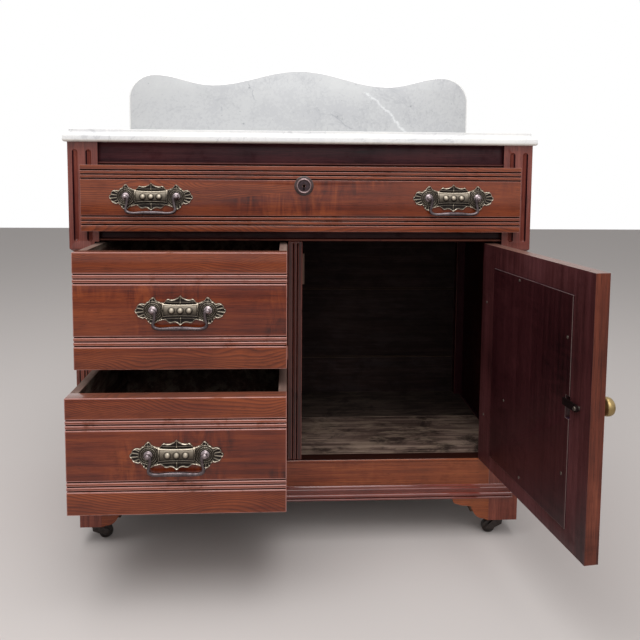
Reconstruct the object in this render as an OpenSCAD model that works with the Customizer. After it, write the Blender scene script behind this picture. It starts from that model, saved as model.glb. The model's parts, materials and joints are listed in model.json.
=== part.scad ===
// Washstand with a marble top, a full-width drawer, two small drawers and a cupboard.
// Millimetres, +Z up, +X to the viewer's right, +Y towards the wall.
// The sizes below are measured from the front plane of the upper posts (y = 0) and from the floor (z = 0).
// stand() then moves everything back so that the origin is under the middle of the stand as it is drawn.

/* [Main sizes] */
// Height of the marble's top above the floor
stand_h = 718; // [690:1:745]
// Width of the marble top
marble_w = 787; // [760:1:840]
// Depth of the marble top
marble_d = 402; // [390:1:430]

/* [Marble] */
// Thickness of the marble top
marble_t = 21; // [18:0.5:28]
// Overhang of the marble past each upper post
marble_side = 4.5; // [2:0.5:12]
// Overhang of the marble in front of the upper posts
marble_front = 12; // [8:0.5:16]
// Inset of the marble's upper edge from its lip
marble_cove = 8.5; // [7:0.5:11]
// Inset of the marble's lower edge from its lip
marble_under = 3.5; // [2:0.5:6]
// Height of the upright fillet above the cove
marble_fillet = 3; // [2:0.5:4]

/* [Backsplash] */
// Distance of the backsplash's ends from the marble's ends
splash_in = 22.5; // [15:0.5:50]
// Thickness of the backsplash
splash_t = 20; // [14:0.5:26]
// Height of the middle crest above the marble
splash_peak = 150; // [130:1:180]
// Height of the two side ears above the marble
splash_ear = 138.5; // [125:0.5:170]
// Height of the low stretches between crest and ears
splash_low = 118; // [95:0.5:124]
// Height at which the rounded ends start
splash_shoulder = 85; // [50:1:94]
// Width of each rounded end, past the top of its ear
splash_end_w = 57; // [40:1:80]
// Place of each low stretch, as a share of the way from the middle to an ear
splash_low_share = 0.61; // [0.5:0.01:0.7]
// Depth of the rebate in the slab where the backsplash stands
splash_bed = 2; // [0.5:0.5:4]

/* [Case] */
// Width of the upper posts
post_w = 49; // [44:1:56]
// Depth of the upper posts
post_d = 49; // [44:1:56]
// Height of the upper posts
post_h = 182; // [172:1:184]
// Height of the sloped foot of each upper post
post_slope = 5; // [3:0.5:8]
// Width of a flute
flute_w = 9.5; // [7:0.5:12]
// Depth of a flute
flute_d = 3.5; // [2:0.5:4.5]
// Distance of the outer flute from the outer face
flute_in = 12; // [9:0.5:14]
// Distance between the two flutes
flute_pitch = 22; // [17:0.5:24]
// Distance of the flutes' ends from the post's ends
flute_end = 12; // [8:0.5:20]
// Step in from the upper posts to the lower case, at the sides
lower_side = 4.5; // [2:0.5:6]
// Step back from the upper posts to the lower case, in front
lower_front = 6; // [4:0.5:8]
// Width of the left lower stile
left_stile_w = 37; // [34:0.5:40]
// Width of the right lower stile
right_stile_w = 51.5; // [48:0.5:54]
// Width of the centre stile
centre_stile_w = 24; // [20:0.5:28]
// Distance of the centre stile's right edge from the middle, to the left
centre_stile_x = 1.5; // [0:0.5:20]
// Thickness of the centre stile and of the lower rails
rail_t = 22; // [18:0.5:24]
// Width of the reed grooves
reed_w = 2; // [1:0.25:2.5]
// Depth of the reed grooves
reed_d = 2; // [1:0.25:3]
// Width of the rear posts
rear_w = 34; // [28:1:36]
// Depth of the rear posts
rear_d = 40; // [34:1:46]
// Distance of the rear posts' back from the marble's back edge
rear_gap = 6; // [2:1:14]
// Thickness of the frieze rail under the marble
frieze_t = 22; // [18:0.5:26]
// Height of the frieze rail
frieze_h = 37; // [32:0.5:48]
// Setback of the frieze and of the rail under the top drawer
frieze_back = 10; // [8:0.5:12]
// Radius of the beads on the rails
bead_r = 3; // [2:0.25:3.5]
// Thickness of the rail under the top drawer
mid_rail_t = 18; // [15:0.5:24]
// Depth of the rails that carry the drawers
carry_d = 62; // [50:1:80]
// Height of the divider rail between the small drawers
divider_t = 24; // [20:0.5:32]
// Height of the bottom rail
bottom_rail_h = 74; // [68:1:84]
// Height of the base moulding
base_h = 25; // [22:0.5:30]
// Projection of the base moulding from the stiles
base_out = 9; // [7:0.5:11]
// Distance of the moulding's ends from the stiles' outer faces
base_end = 8; // [5:0.5:14]
// Length of a bracket
bracket_l = 67; // [60:1:80]
// Thickness of a bracket
bracket_t = 20; // [15:0.5:24]
// Height of the feet's underside above the floor
foot_z = 32; // [31:0.5:40]
// Height of the bottom rail's underside above the feet's underside
foot_h = 43; // [38:1:50]
// Side length of the blocks glued inside the feet
block_w = 28; // [24:1:34]
// Thickness of the side rails
side_rail_t = 20; // [16:0.5:24]
// Height of the upper side rails
side_rail_h = 78; // [66:1:100]
// Thickness of the side panels
side_panel_t = 8; // [6:0.5:12]
// Thickness of the back boards
back_t = 10; // [7:0.5:14]
// Number of back boards
back_count = 4; // [3:1:6]
// Thickness of the floor boards
floor_t = 12; // [9:0.5:18]
// Thickness of the partition
partition_t = 20; // [14:0.5:20]
// Projection of the door stop past the centre stile
stop_out = 4; // [3:0.5:6]
// Height of the door stop
stop_h = 53; // [40:1:70]

/* [Drawers] */
// Gap between a front and the wood around it
front_gap = 1.5; // [1:0.25:2.5]
// How far the top drawer's front covers each upper post
front_cover = 23; // [10:0.5:30]
// Height of the top drawer's front
top_front_h = 108; // [100:1:124]
// Thickness of the top drawer's front
top_front_t = 22; // [18:0.5:26]
// Height of the gap between the top drawer's front and the frieze rail
top_front_gap = 0.5; // [0.5:0.25:4]
// How much taller the middle drawer's front is than the bottom drawer's
middle_extra = 3; // [0:0.5:8]
// Thickness of the two small drawers' fronts
low_front_t = 25; // [20:0.5:28]
// Distance of the first groove from the upper edge of the top front
top_band = 8; // [6:0.5:12]
// Distance of the first groove from the upper edges of the small fronts
low_band = 33; // [26:0.5:38]
// How much further the lowest groove is from the lower edge of a front
band_extra = 3; // [0:0.5:4]
// Distance between the grooves on the fronts
groove_pitch = 6.9; // [6:0.1:8]
// Width of the grooves on the fronts
groove_w = 2.8; // [1.5:0.1:3.4]
// Depth of the grooves on the fronts
groove_d = 2.8; // [1.5:0.1:3.5]
// Thickness of the drawer sides and backs
side_t = 12.7; // [10:0.1:15]
// Gap between a closed small drawer and the back boards
drawer_back_gap = 15; // [8:0.5:40]
// Gap above a small drawer's sides, under its front's upper edge
low_side_gap = 1; // [0.5:0.5:8]
// Gap between a drawer and its runners
run_gap = 0.3; // [0.2:0.05:0.6]
// Gap above the top drawer's sides
top_side_gap = 12; // [9:0.5:20]
// Thickness of the drawer bottoms
bottom_t = 8; // [6:0.5:11]
// Height of the drawer bottoms above the sides' lower edge
bottom_up = 8; // [5:0.5:12]
// How far the middle drawer stands out as drawn
middle_out = 137; // [40:1:200]
// How far the bottom drawer stands out as drawn
lower_out = 185; // [60:1:220]

/* [Pulls] */
// Width of a pull's plate
pull_w = 136; // [116:1:142]
// Height of a pull's plate
pull_h = 45.5; // [38:0.5:50]
// Thickness of the plate
pull_t = 2; // [1.5:0.25:3]
// Height of the raised middle and the rosettes
relief_t = 1.4; // [1:0.1:2]
// Distance of the top drawer's pulls from the ends of its front
top_pull_in = 114; // [90:1:150]
// Distance between a pull's two posts
post_pitch = 82; // [76:0.5:86]
// Radius of the posts that carry the bail
bail_post_r = 3.4; // [3:0.1:4]
// Distance of the bail's axis from the wood
bail_axis = 8; // [7:0.25:10]
// Radius of the bail's pins
bail_pin_r = 1.5; // [1.2:0.05:1.8]
// Radial clearance of the pins in the posts
bail_clear = 0.06; // [0.03:0.01:0.1]
// Drop of the bail's bar below its axis
bail_drop = 26.5; // [25:0.5:32]
// Radius of the bail's bar in the middle
bail_r = 3.3; // [2.6:0.1:4]
// Radius of the bail's arms
arm_r = 1.9; // [1.5:0.1:2.4]
// Radius of the turned keyhole ring
ring_r = 16; // [13:0.5:20]
// Radius of the ring's opening
ring_hole_r = 7.5; // [6:0.5:9]
// Height of the ring's centre above the top front's lower edge
ring_z = 76; // [68:1:82]
// Projection of the ring
ring_t = 5; // [3:0.5:7]
// Width of the lock's case
lock_w = 60; // [44:1:70]
// Height of the lock's case
lock_h = 46; // [38:1:54]
// Thickness of the lock's case
lock_t = 16; // [15:0.5:18]
// Travel of the lock's bolt
bolt_out = 9; // [8:0.5:10]

/* [Door] */
// Thickness of the door's frame
door_t = 20; // [17:0.5:22]
// Width of the door's stiles
door_stile_w = 47; // [40:1:56]
// Height of the door's upper rail
door_top_h = 36; // [30:1:48]
// Height of the door's lower rail
door_low_h = 24; // [20:1:48]
// Thickness of the door's panel
panel_t = 15; // [11:0.5:18]
// How far the panel stands out of the frame's inner face
panel_proud = 1.5; // [0.5:0.25:3]
// Angle to which the door is open as drawn
door_open = 98; // [60:1:120]
// Distance of the knob from the door's free edge
knob_in = 26.5; // [22:0.5:32]
// Height of the knob above the door's lower edge
knob_z = 199; // [170:1:230]
// Projection of the knob
knob_out = 29; // [24:0.5:34]
// Radius of the knob
knob_r = 12.8; // [10:0.2:15]
// Radius of the knob's spindle
spindle_r = 3; // [2.5:0.1:3.5]
// Radial clearance of the spindle in the door
spindle_clear = 0.08; // [0.05:0.01:0.1]
// Thickness of the latch arm
latch_t = 2.5; // [2:0.25:3]
// Width of the latch arm
latch_w = 10; // [8:0.5:14]
// Width of the notch in the panel behind the latch arm
notch_w = 9; // [6:0.5:12]
// Height of the notch in the panel
notch_h = 31; // [28:1:40]
// Height of a hinge
hinge_h = 51; // [40:1:64]
// Width of a hinge leaf
hinge_w = 19; // [16:0.5:19]
// Thickness of a hinge leaf
leaf_t = 1.3; // [1:0.1:1.6]
// Radius of the hinge knuckles
knuckle_r = 3; // [2.6:0.1:3.3]
// Radius of the hinge pins
hinge_pin_r = 1.6; // [1.3:0.05:1.8]
// Radial clearance of the hinge pins
hinge_clear = 0.06; // [0.03:0.01:0.1]
// Distance of the hinges from the door's ends
hinge_in = 60; // [45:1:90]

/* [Casters] */
// Radius of a caster wheel
wheel_r = 12; // [10:0.5:13]
// Width of a caster wheel
wheel_w = 11; // [9:0.5:13]
// Radius of a wheel's axle
axle_r = 2; // [1.6:0.1:2.4]
// Radial clearance of a wheel on its axle
axle_clear = 0.08; // [0.05:0.01:0.1]
// Distance of a wheel's axle from the stem
caster_trail = 20; // [19:0.5:24]
// Distance of the front casters' stems from the stiles' front
caster_in = 21; // [19:0.5:26]
// Radius of a caster's stem
stem_r = 4; // [3.5:0.1:4.5]
// Radial clearance of a stem in its socket
stem_clear = 0.08; // [0.05:0.01:0.1]
// Length of a stem above the foot's underside
stem_l = 24; // [18:1:30]
// Radius of a socket's flange
flange_r = 13; // [11:0.5:15]
// Thickness of a socket's flange
flange_t = 1.5; // [1:0.25:2]
// Thickness of a fork's cheeks
cheek_t = 2; // [1.5:0.25:2.5]
// Angles to which the casters are turned, as front left, front right, rear left, rear right
caster_turn = [20, 180, 70, 115]; // [-180:5:180]

/* [Hidden] */
$fn = 40;

// Cuts reach this far past the faces they open
cut = 1;

// Heights, from the floor up
rail_z0 = foot_z + foot_h;
low_z0 = rail_z0 + bottom_rail_h;
marble_z = stand_h;
case_z1 = marble_z - marble_t;
frieze_z0 = case_z1 - frieze_h;
top_front_z1 = frieze_z0 - top_front_gap;
top_front_z0 = top_front_z1 - top_front_h;
mid_z1 = top_front_z0 - front_gap;
mid_z0 = mid_z1 - mid_rail_t;
low_front_h = (mid_z0 - low_z0 - divider_t - middle_extra) / 2 - 2 * front_gap;
middle_front_h = low_front_h + middle_extra;
divider_z0 = low_z0 + low_front_h + 2 * front_gap;
middle_z0 = divider_z0 + divider_t;
post_z0 = case_z1 - post_h;
side_low_z1 = low_z0;
side_top_z0 = case_z1 - side_rail_h;

// Widths, from the middle
case_x = marble_w / 2 - marble_side;
post_x = case_x - post_w;
lower_x = case_x - lower_side;
left_x = -lower_x + left_stile_w;
right_x = lower_x - right_stile_w;
centre_x1 = -centre_stile_x;
centre_x0 = centre_x1 - centre_stile_w;
rear_x = lower_x - rear_w;
side_set_in = 2.5;
side_x1 = lower_x - side_set_in;
side_x0 = side_x1 - side_rail_t;
panel_x1 = (side_x0 + side_x1 + side_panel_t) / 2;
panel_x0 = panel_x1 - side_panel_t;
splash_x = marble_w / 2 - splash_in;
splash_ear_x = splash_x - splash_end_w;
splash_low_x = splash_low_share * splash_ear_x;
top_front_x = post_x + front_cover;

// Depths, from the front plane of the upper posts
marble_y0 = -marble_front;
marble_y1 = marble_y0 + marble_d;
rear_y1 = marble_y1 - rear_gap;
rear_y0 = rear_y1 - rear_d;
stile_y0 = lower_front;
back_y0 = rear_y0 + rear_d / 2;
low_rail_y1 = stile_y0 + rail_t;
carry_y1 = stile_y0 + carry_d;

// Door, in its closed place
door_x0 = centre_x1 + front_gap;
door_x1 = right_x - front_gap;
door_z0 = low_z0 + front_gap;
door_z1 = mid_z0 - front_gap;
hinge_x = (door_x1 + right_x) / 2;
hinge_lift = 0.5;
hinge_y = stile_y0 - knuckle_r - hinge_lift;
hinge_zs = [door_z0 + hinge_in, door_z1 - hinge_in - hinge_h];
knob_x = door_x0 + knob_in;
knob_height = door_z0 + knob_z;
latch_gap = 1;
latch_lap = 3;
latch_y0 = low_rail_y1 + latch_gap;
latch_reach = knob_x - centre_x1 + latch_lap;
notch_drop = 7;
notch_d = 8;
spindle_end = 2;
rose_gap = 0.3;
rose_r = 9;
rose_t = 2;
rose_edge = 0.5;
neck_r = 5;
neck_flare = 1;
knob_half = 8;
leaf_gap = 0.15;

// The origin lies midway between the marble's back edge and the open door's free edge
door_reach = hinge_x - door_x0;
door_inner = stile_y0 + door_t - hinge_y;
stand_y0 = hinge_y - door_reach * sin(door_open) + door_inner * cos(door_open);
stand_y = (stand_y0 + marble_y1) / 2;

// Drawers
top_box_gap = 2;
top_box_x = post_x - top_box_gap;
top_box_z0 = mid_z1 + run_gap;
top_box_z1 = top_front_z1 - top_side_gap;
top_back_y = -0.5;
side_l = back_y0 - stile_y0 - low_front_t - drawer_back_gap;
low_x0 = left_x + front_gap;
low_x1 = centre_x0 - front_gap;
lock_down = 4;
lock_z1 = frieze_z0 - lock_down;
bolt_w = 16;
bolt_t = 3;
bolt_h = 27;
bolt_cover = 1.5;
bolt_y0 = top_back_y + lock_t - bolt_t - bolt_cover;
bolt_fit = 0.6;
bolt_clear = 0.1;
key_r = 2.4;
key_end_gap = 1;

// Pulls: places of their middles on the fronts
pull_rise = 3;
middle_pull_rise = 2;
top_pull_x = top_front_x - top_pull_in;
top_pull_z = top_front_z0 + top_front_h / 2 + pull_rise;
low_pull_x = (low_x0 + low_x1) / 2;
low_pull_up = low_front_h / 2 + pull_rise;
middle_pull_up = middle_front_h / 2 + middle_pull_rise;
rosette_r = 10;
boss_r = 3.6;
boss_t = 1.6;
turned_edge = 1.5;
bail_shoulder = 8;
bail_knee = 5;
bail_foot = 5.5;
bail_arm_gap = 1;
knuckle_swell = 0.15;

// Casters
stems = [
  [(-lower_x + left_x) / 2, stile_y0 + caster_in],
  [(lower_x + right_x) / 2, stile_y0 + caster_in],
  [-lower_x + rear_w / 2, rear_y1 - rear_d / 2],
  [lower_x - rear_w / 2, rear_y1 - rear_d / 2]
];
socket_wall = 3;
socket_r = stem_r + socket_wall;

// Smaller parts of the case
reed_in = [6.5, 14.5, 19];
centre_reed = 3.5;
rail_bead = 2 * bead_r;
joint_w = 1.2;
floor_joint_back = 20;
floor_joint = (low_rail_y1 + rear_y0) / 2 + floor_joint_back;
runner_in = 6;
runner_t = 18;
block_up = 6;
stop_gap = 0.3;
stop_down = 24;
stop_d = 14;

// Smaller parts of the casters
crown_t = 2.2;
cheek_gap = 0.5;
axle_end = 0.6;
wheel_round = 2.5;
crown_gap = 0.3;
crown_z1 = foot_z - flange_t - crown_gap;
fork_half = 5;
fork_eye = 4;
fork_neck = 3;
fork_rise = 6;

// Moves the whole stand so that the origin is under its middle
module stand() {
  translate([0, -stand_y, 0]) children();
}

// A block between two corners
module block(x, y, z) {
  translate([x[0], y[0], z[0]]) cube([x[1] - x[0], y[1] - y[0], z[1] - z[0]]);
}

// A [y, z] outline drawn along x
module run_x(x0, x1) {
  translate([x0, 0, 0]) rotate([90, 0, 90]) linear_extrude(x1 - x0) children();
}

// An [x, z] outline drawn along y
module run_y(y0, y1) {
  translate([0, y1, 0]) rotate([90, 0, 0]) linear_extrude(y1 - y0) children();
}

// A round bar between two points
module bar(p, q, r1, r2) {
  d = q - p;
  translate(p) rotate([0, acos(d[2] / norm(d)), atan2(d[1], d[0])]) cylinder(h = norm(d), r1 = r1, r2 = r2);
}

// Points of an arc in a plane
function arc(c, r, a0, a1, n) = [for (i = [0:n]) let (a = a0 + (a1 - a0) * i / n) c + r * [cos(a), sin(a)]];

// ---- Stone ----

// Edge of the slab, as inset from its lip and height: under-curve, nose, cove and fillet
cove_lip = 2.5;
nose_tilt = 0.6;
nose_drop = 1.5;
cove_r = marble_cove - cove_lip;
cove_z = marble_t - marble_fillet;
marble_edge = concat(
  arc([marble_under, marble_under], marble_under, 270, 180, 6),
  [[nose_tilt, cove_z - cove_r - nose_drop]],
  arc([cove_lip, cove_z], cove_r, -90, 0, 8),
  [[marble_cove, marble_t]]
);

module marble_top() {
  half = marble_w / 2;
  front = [for (p = marble_edge) [marble_y0 + p[0], case_z1 + p[1]]];
  left = [for (p = marble_edge) [p[0] - half, case_z1 + p[1]]];
  right = [for (i = [len(marble_edge) - 1:-1:0]) [half - marble_edge[i][0], case_z1 + marble_edge[i][1]]];
  color("gainsboro") stand() difference() {
    intersection() {
      run_x(-half, half) polygon(concat(front, [[marble_y1, marble_z], [marble_y1, case_z1]]));
      run_y(marble_y0, marble_y1) polygon(concat(left, right));
    }
    block(
      [-splash_x, splash_x],
      [marble_y1 - splash_t, marble_y1 + cut],
      [marble_z - splash_bed, marble_z + cut]
    );
  }
}

// Height of the backsplash at a distance from the middle: crest, low stretch, ear, rounded end
splash_half_wave = 180 / (splash_ear_x - splash_low_x);
function splash_height(x) = x < splash_low_x ?
  splash_low + (splash_peak - splash_low) * (1 + cos(180 * x / splash_low_x)) / 2 :
  splash_low + (splash_ear - splash_low) * (1 - cos(splash_half_wave * (x - splash_low_x))) / 2;
splash_half = concat(
  [for (i = [0:28]) let (x = splash_ear_x * i / 28) [x, splash_height(x)]],
  [for (a = [80:-10:0])
    [splash_ear_x + splash_end_w * cos(a), splash_shoulder + (splash_ear - splash_shoulder) * sin(a)]],
  [[splash_x, -splash_bed]]
);

module backsplash() {
  mirrored = [for (i = [len(splash_half) - 1:-1:1]) [-splash_half[i][0], splash_half[i][1]]];
  color("gainsboro") stand() translate([0, 0, marble_z]) run_y(marble_y1 - splash_t, marble_y1)
    polygon(concat(mirrored, splash_half));
}

// ---- Case ----

// A stopped flute with round ends, in the front face y = 0
module flute(x, z0, z1) {
  r = flute_w / 2;
  translate([x, flute_d - r, 0]) {
    translate([0, 0, z0 + r]) cylinder(h = z1 - z0 - 2 * r, r = r);
    translate([0, 0, z0 + r]) sphere(r);
    translate([0, 0, z1 - r]) sphere(r);
  }
}

// The right upper post, with a rebate beside the drawer or door below it
module post(rebate_x) {
  difference() {
    intersection() {
      run_y(0, post_d) polygon([
        [post_x, post_z0], [lower_x, post_z0],
        [case_x, post_z0 + post_slope], [case_x, case_z1], [post_x, case_z1]
      ]);
      run_x(post_x, case_x) polygon([
        [post_d, post_z0], [lower_front, post_z0], [0, post_z0 + post_slope], [0, case_z1], [post_d, case_z1]
      ]);
    }
    for (k = [0:1])
      flute(case_x - flute_in - k * flute_pitch, post_z0 + post_slope + flute_end, case_z1 - flute_end);
    if (rebate_x > post_x)
      block([post_x - cut, rebate_x], [-cut, post_d + cut], [post_z0 - cut, mid_z0]);
  }
}

module left_post() {
  color("sienna") stand() mirror([1, 0, 0]) post(-left_x);
}

module right_post() {
  color("sienna") stand() post(right_x);
}

// Grooves cut up the stiles' front faces
module reeds(xs, z0, z1) {
  for (x = xs)
    block([x - reed_w / 2, x + reed_w / 2], [stile_y0 - cut, stile_y0 + reed_d], [z0, z1]);
}

// A lower stile with its foot, bored for a caster's socket
module stile(x0, x1, stem) {
  difference() {
    block([x0, x1], [stile_y0, post_d], [foot_z, post_z0]);
    reeds([for (d = reed_in) x0 < 0 ? x0 + d : x1 - d], low_z0, post_z0 + cut);
    translate([stem[0], stem[1], foot_z - cut]) cylinder(h = stem_l + 2 * cut, r = socket_r);
    children();
  }
}

module left_stile() {
  color("sienna") stand() stile(-lower_x, left_x, stems[0]);
}

module right_stile() {
  color("sienna") stand() stile(right_x, lower_x, stems[1])
    for (z = hinge_zs)
      block([right_x - cut, right_x + leaf_t], [stile_y0 - cut, stile_y0 + hinge_w], [z, z + hinge_h]);
}

module centre_stile() {
  middle = (centre_x0 + centre_x1) / 2;
  color("sienna") stand() difference() {
    block([centre_x0, centre_x1], [stile_y0, low_rail_y1], [low_z0, mid_z0]);
    reeds([middle - centre_reed, middle + centre_reed], low_z0 - cut, mid_z0 - bead_r);
  }
}

// Outline of a bead on a rail's face y, standing out by out, its middle at height z
function bead(y, z, out) = [for (a = [90:22.5:270]) [y + out * cos(a), z + bead_r * sin(a)]];

// Rail under the marble, mortised for the lock's bolt
module frieze_rail() {
  y1 = frieze_back + frieze_t;
  color("sienna") stand() difference() {
    run_x(-post_x, post_x) polygon(concat(
      [[y1, frieze_z0], [y1, case_z1], [frieze_back, case_z1]],
      bead(frieze_back, frieze_z0 + bead_r, rail_bead)
    ));
    block(
      [-bolt_w / 2 - bolt_fit, bolt_w / 2 + bolt_fit],
      [bolt_y0 - bolt_fit, bolt_y0 + bolt_t + bolt_fit],
      [frieze_z0 - cut, lock_z1 + bolt_out + bolt_fit]
    );
  }
}

// Rail under the top drawer
module mid_rail() {
  color("sienna") stand() run_x(-post_x, post_x) polygon(concat(
    [[carry_y1, mid_z0], [carry_y1, mid_z1], [frieze_back, mid_z1]],
    bead(frieze_back, mid_z0 + bead_r, rail_bead)
  ));
}

module divider_rail() {
  color("sienna") stand() block([left_x, centre_x0], [stile_y0, carry_y1], [divider_z0, middle_z0]);
}

module bottom_rail() {
  color("sienna") stand() run_x(left_x, right_x) polygon(concat(
    [[stile_y0, rail_z0], [low_rail_y1, rail_z0], [low_rail_y1, low_z0]],
    bead(stile_y0, low_z0 - bead_r, bead_r)
  ));
}

// Section of the base moulding: how far it stands out at each height, as a large bead between two thin ones
base_section = concat(
  [[0, 0], [0.45, 0]],
  [for (a = [-67.5:22.5:67.5]) [0.45 + 0.2 * cos(a), 0.08 + 0.08 * sin(a)]],
  [[0.45, 0.16], [0.35, 0.18], [0.35, 0.26], [0.6, 0.26]],
  [for (a = [-67.5:22.5:67.5]) [0.6 + 0.4 * cos(a), 0.4 + 0.14 * sin(a)]],
  [[0.6, 0.54], [0.35, 0.56], [0.35, 0.68], [0.45, 0.7]],
  [for (a = [-67.5:22.5:67.5]) [0.45 + 0.25 * cos(a), 0.79 + 0.09 * sin(a)]],
  [[0.45, 0.88], [0.2, 0.9], [0, 1]]
);

module base_moulding() {
  end_x = lower_x - base_end;
  out = [for (p = base_section) [p[0] * base_out, rail_z0 + p[1] * base_h]];
  color("sienna") stand() intersection() {
    run_x(-end_x, end_x) polygon([for (p = out) [stile_y0 - p[0], p[1]]]);
    run_y(stile_y0 - base_out - cut, stile_y0 + cut) polygon(concat(
      [for (p = out) [end_x - base_out + p[0], p[1]]],
      [for (i = [len(out) - 1:-1:0]) [-end_x + base_out - out[i][0], out[i][1]]]
    ));
  }
}

// The right bracket's outline, from its joint with the foot at x = 0 towards the middle
scroll_x = -0.12 * bracket_l;
scroll_r = 0.49 * foot_h;
scroll_z = 0.56 * foot_h;
bracket_outline = concat(
  [[0, foot_h], [0, 0], [scroll_x, scroll_z - scroll_r]],
  arc([scroll_x, scroll_z], scroll_r, 280, 205, 6),
  [
    [-0.49 * bracket_l, 0.62 * foot_h], [-0.75 * bracket_l, 0.66 * foot_h],
    [-0.94 * bracket_l, 0.76 * foot_h], [-bracket_l, foot_h]
  ]
);

module front_brackets() {
  color("sienna") stand() {
    translate([right_x, 0, foot_z]) run_y(stile_y0, stile_y0 + bracket_t) polygon(bracket_outline);
    translate([left_x, 0, foot_z]) mirror([1, 0, 0])
      run_y(stile_y0, stile_y0 + bracket_t) polygon(bracket_outline);
  }
}

module rear_post(stem) {
  difference() {
    block([rear_x, lower_x], [rear_y0, rear_y1], [foot_z, case_z1]);
    translate([abs(stem[0]), stem[1], foot_z - cut]) cylinder(h = stem_l + 2 * cut, r = socket_r);
  }
}

module left_rear_post() {
  color("saddlebrown") stand() mirror([1, 0, 0]) rear_post(stems[2]);
}

module right_rear_post() {
  color("saddlebrown") stand() rear_post(stems[3]);
}

module side_rails() {
  color("sienna") stand() for (side = [0, 1]) mirror([side, 0, 0]) {
    block([side_x0, side_x1], [post_d, rear_y0], [side_top_z0, case_z1]);
    block([side_x0, side_x1], [post_d, rear_y0], [rail_z0, side_low_z1]);
  }
}

module side_panel() {
  block([panel_x0, panel_x1], [post_d, rear_y0], [side_low_z1, side_top_z0]);
}

module left_side_panel() {
  color("peru") stand() mirror([1, 0, 0]) side_panel();
}

module right_side_panel() {
  color("peru") stand() side_panel();
}

// Back boards, their joints chamfered towards the inside
module back_boards() {
  step = (case_z1 - rail_z0) / back_count;
  color("rosybrown") stand() difference() {
    block([-rear_x, rear_x], [back_y0, back_y0 + back_t], [rail_z0, case_z1]);
    for (i = [0:back_count]) translate([0, 0, rail_z0 + i * step]) run_x(-rear_x - cut, rear_x + cut)
      polygon([[back_y0 - cut, -joint_w - cut], [back_y0 + joint_w, 0], [back_y0 - cut, joint_w + cut]]);
  }
}

module partition() {
  color("rosybrown") stand()
    block([centre_x0, centre_x0 + partition_t], [low_rail_y1, back_y0], [low_z0, mid_z0]);
}

// Floor of the cupboard and of the bottom drawer's bay, cut round the posts, with a joint between two boards
module floor_boards() {
  z0 = low_z0 - floor_t;
  color("rosybrown") stand() difference() {
    block([-side_x0, side_x0], [low_rail_y1, back_y0], [z0, low_z0]);
    block([-side_x0 - cut, left_x], [low_rail_y1 - cut, post_d], [z0 - cut, low_z0 + cut]);
    block([right_x, side_x0 + cut], [low_rail_y1 - cut, post_d], [z0 - cut, low_z0 + cut]);
    for (side = [0, 1]) mirror([side, 0, 0])
      block([rear_x, side_x0 + cut], [rear_y0, back_y0 + cut], [z0 - cut, low_z0 + cut]);
    run_x(-side_x0 - cut, side_x0 + cut) polygon([
      [floor_joint - joint_w, low_z0 + cut], [floor_joint + joint_w, low_z0 + cut],
      [floor_joint + joint_w, low_z0], [floor_joint, low_z0 - joint_w], [floor_joint - joint_w, low_z0]
    ]);
  }
}

// A runner with a guide beside the drawer: its tread, then its guide, towards +x
module runner(x0, guide_x, x1, z, t) {
  run_y(carry_y1, rear_y0) polygon([
    [x0, z - t], [x1, z - t], [x1, z + t], [guide_x, z + t], [guide_x, z], [x0, z]
  ]);
}

module top_runners() {
  color("rosybrown") stand() for (side = [0, 1]) mirror([side, 0, 0])
    runner(top_box_x - side_t - runner_in, top_box_x + front_gap, panel_x0, mid_z1, mid_rail_t);
}

module lower_runners() {
  z0 = middle_z0 - runner_t;
  color("rosybrown") stand() {
    mirror([1, 0, 0]) runner(-low_x0 - side_t - runner_in, -left_x, panel_x0, middle_z0, runner_t);
    block([centre_x0 - front_gap - side_t - runner_in, centre_x0], [carry_y1, rear_y0], [z0, middle_z0]);
  }
}

// Blocks glued into the corners behind the brackets and beside the rear posts
module foot_blocks() {
  z = [foot_z + block_up, rail_z0];
  color("rosybrown") stand() {
    block([left_x, left_x + block_w], [stile_y0 + bracket_t, post_d], z);
    block([right_x - block_w, right_x], [stile_y0 + bracket_t, post_d], z);
    for (side = [0, 1]) mirror([side, 0, 0])
      block([rear_x - block_w, rear_x], [back_y0 - block_w / 2, back_y0 + block_w / 2], z);
  }
}

// Block behind the centre stile, against which the door closes
module door_stop() {
  y0 = stile_y0 + door_t + stop_gap;
  z1 = mid_z0 - stop_down;
  color("tan") stand() {
    block([centre_x0 + partition_t, centre_x1 + stop_out], [low_rail_y1, y0 + stop_d], [z1 - stop_h, z1]);
    block([centre_x1, centre_x1 + stop_out], [y0, low_rail_y1 + cut], [z1 - stop_h, z1]);
  }
}

// ---- Drawers ----

// A keyhole from y0 to y1: round above, with a slot below
module key_hole(y0, y1) {
  z = top_front_z0 + ring_z;
  translate([0, y1, z]) rotate([90, 0, 0]) cylinder(h = y1 - y0, r = key_r);
  block([-key_r / 2, key_r / 2], [y0, y1], [z - 3 * key_r, z]);
}

// A front with grooves between beads near its upper and lower edges, its face at y = 0
module front(x0, x1, z0, h, t, band) {
  half = groove_w / 2;
  difference() {
    block([x0, x1], [0, t], [z0, z0 + h]);
    for (k = [0:2], top = [0, 1]) {
      g = band + k * groove_pitch;
      z = top == 1 ? z0 + h - g : z0 + g + band_extra;
      run_x(x0 - cut, x1 + cut)
        polygon([[-cut, z - half], [0, z - half], [groove_d, z], [0, z + half], [-cut, z + half]]);
    }
  }
}

// Two sides and a back, behind y = y0
module box(x0, x1, y0, l, z0, z1) {
  block([x0, x0 + side_t], [y0, y0 + l], [z0, z1]);
  block([x1 - side_t, x1], [y0, y0 + l], [z0, z1]);
  block([x0 + side_t, x1 - side_t], [y0 + l - side_t, y0 + l], [z0, z1]);
}

module tray(x0, x1, y0, l, z0) {
  block([x0 + side_t, x1 - side_t], [y0, y0 + l - side_t], [z0 + bottom_up, z0 + bottom_up + bottom_t]);
}

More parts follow.
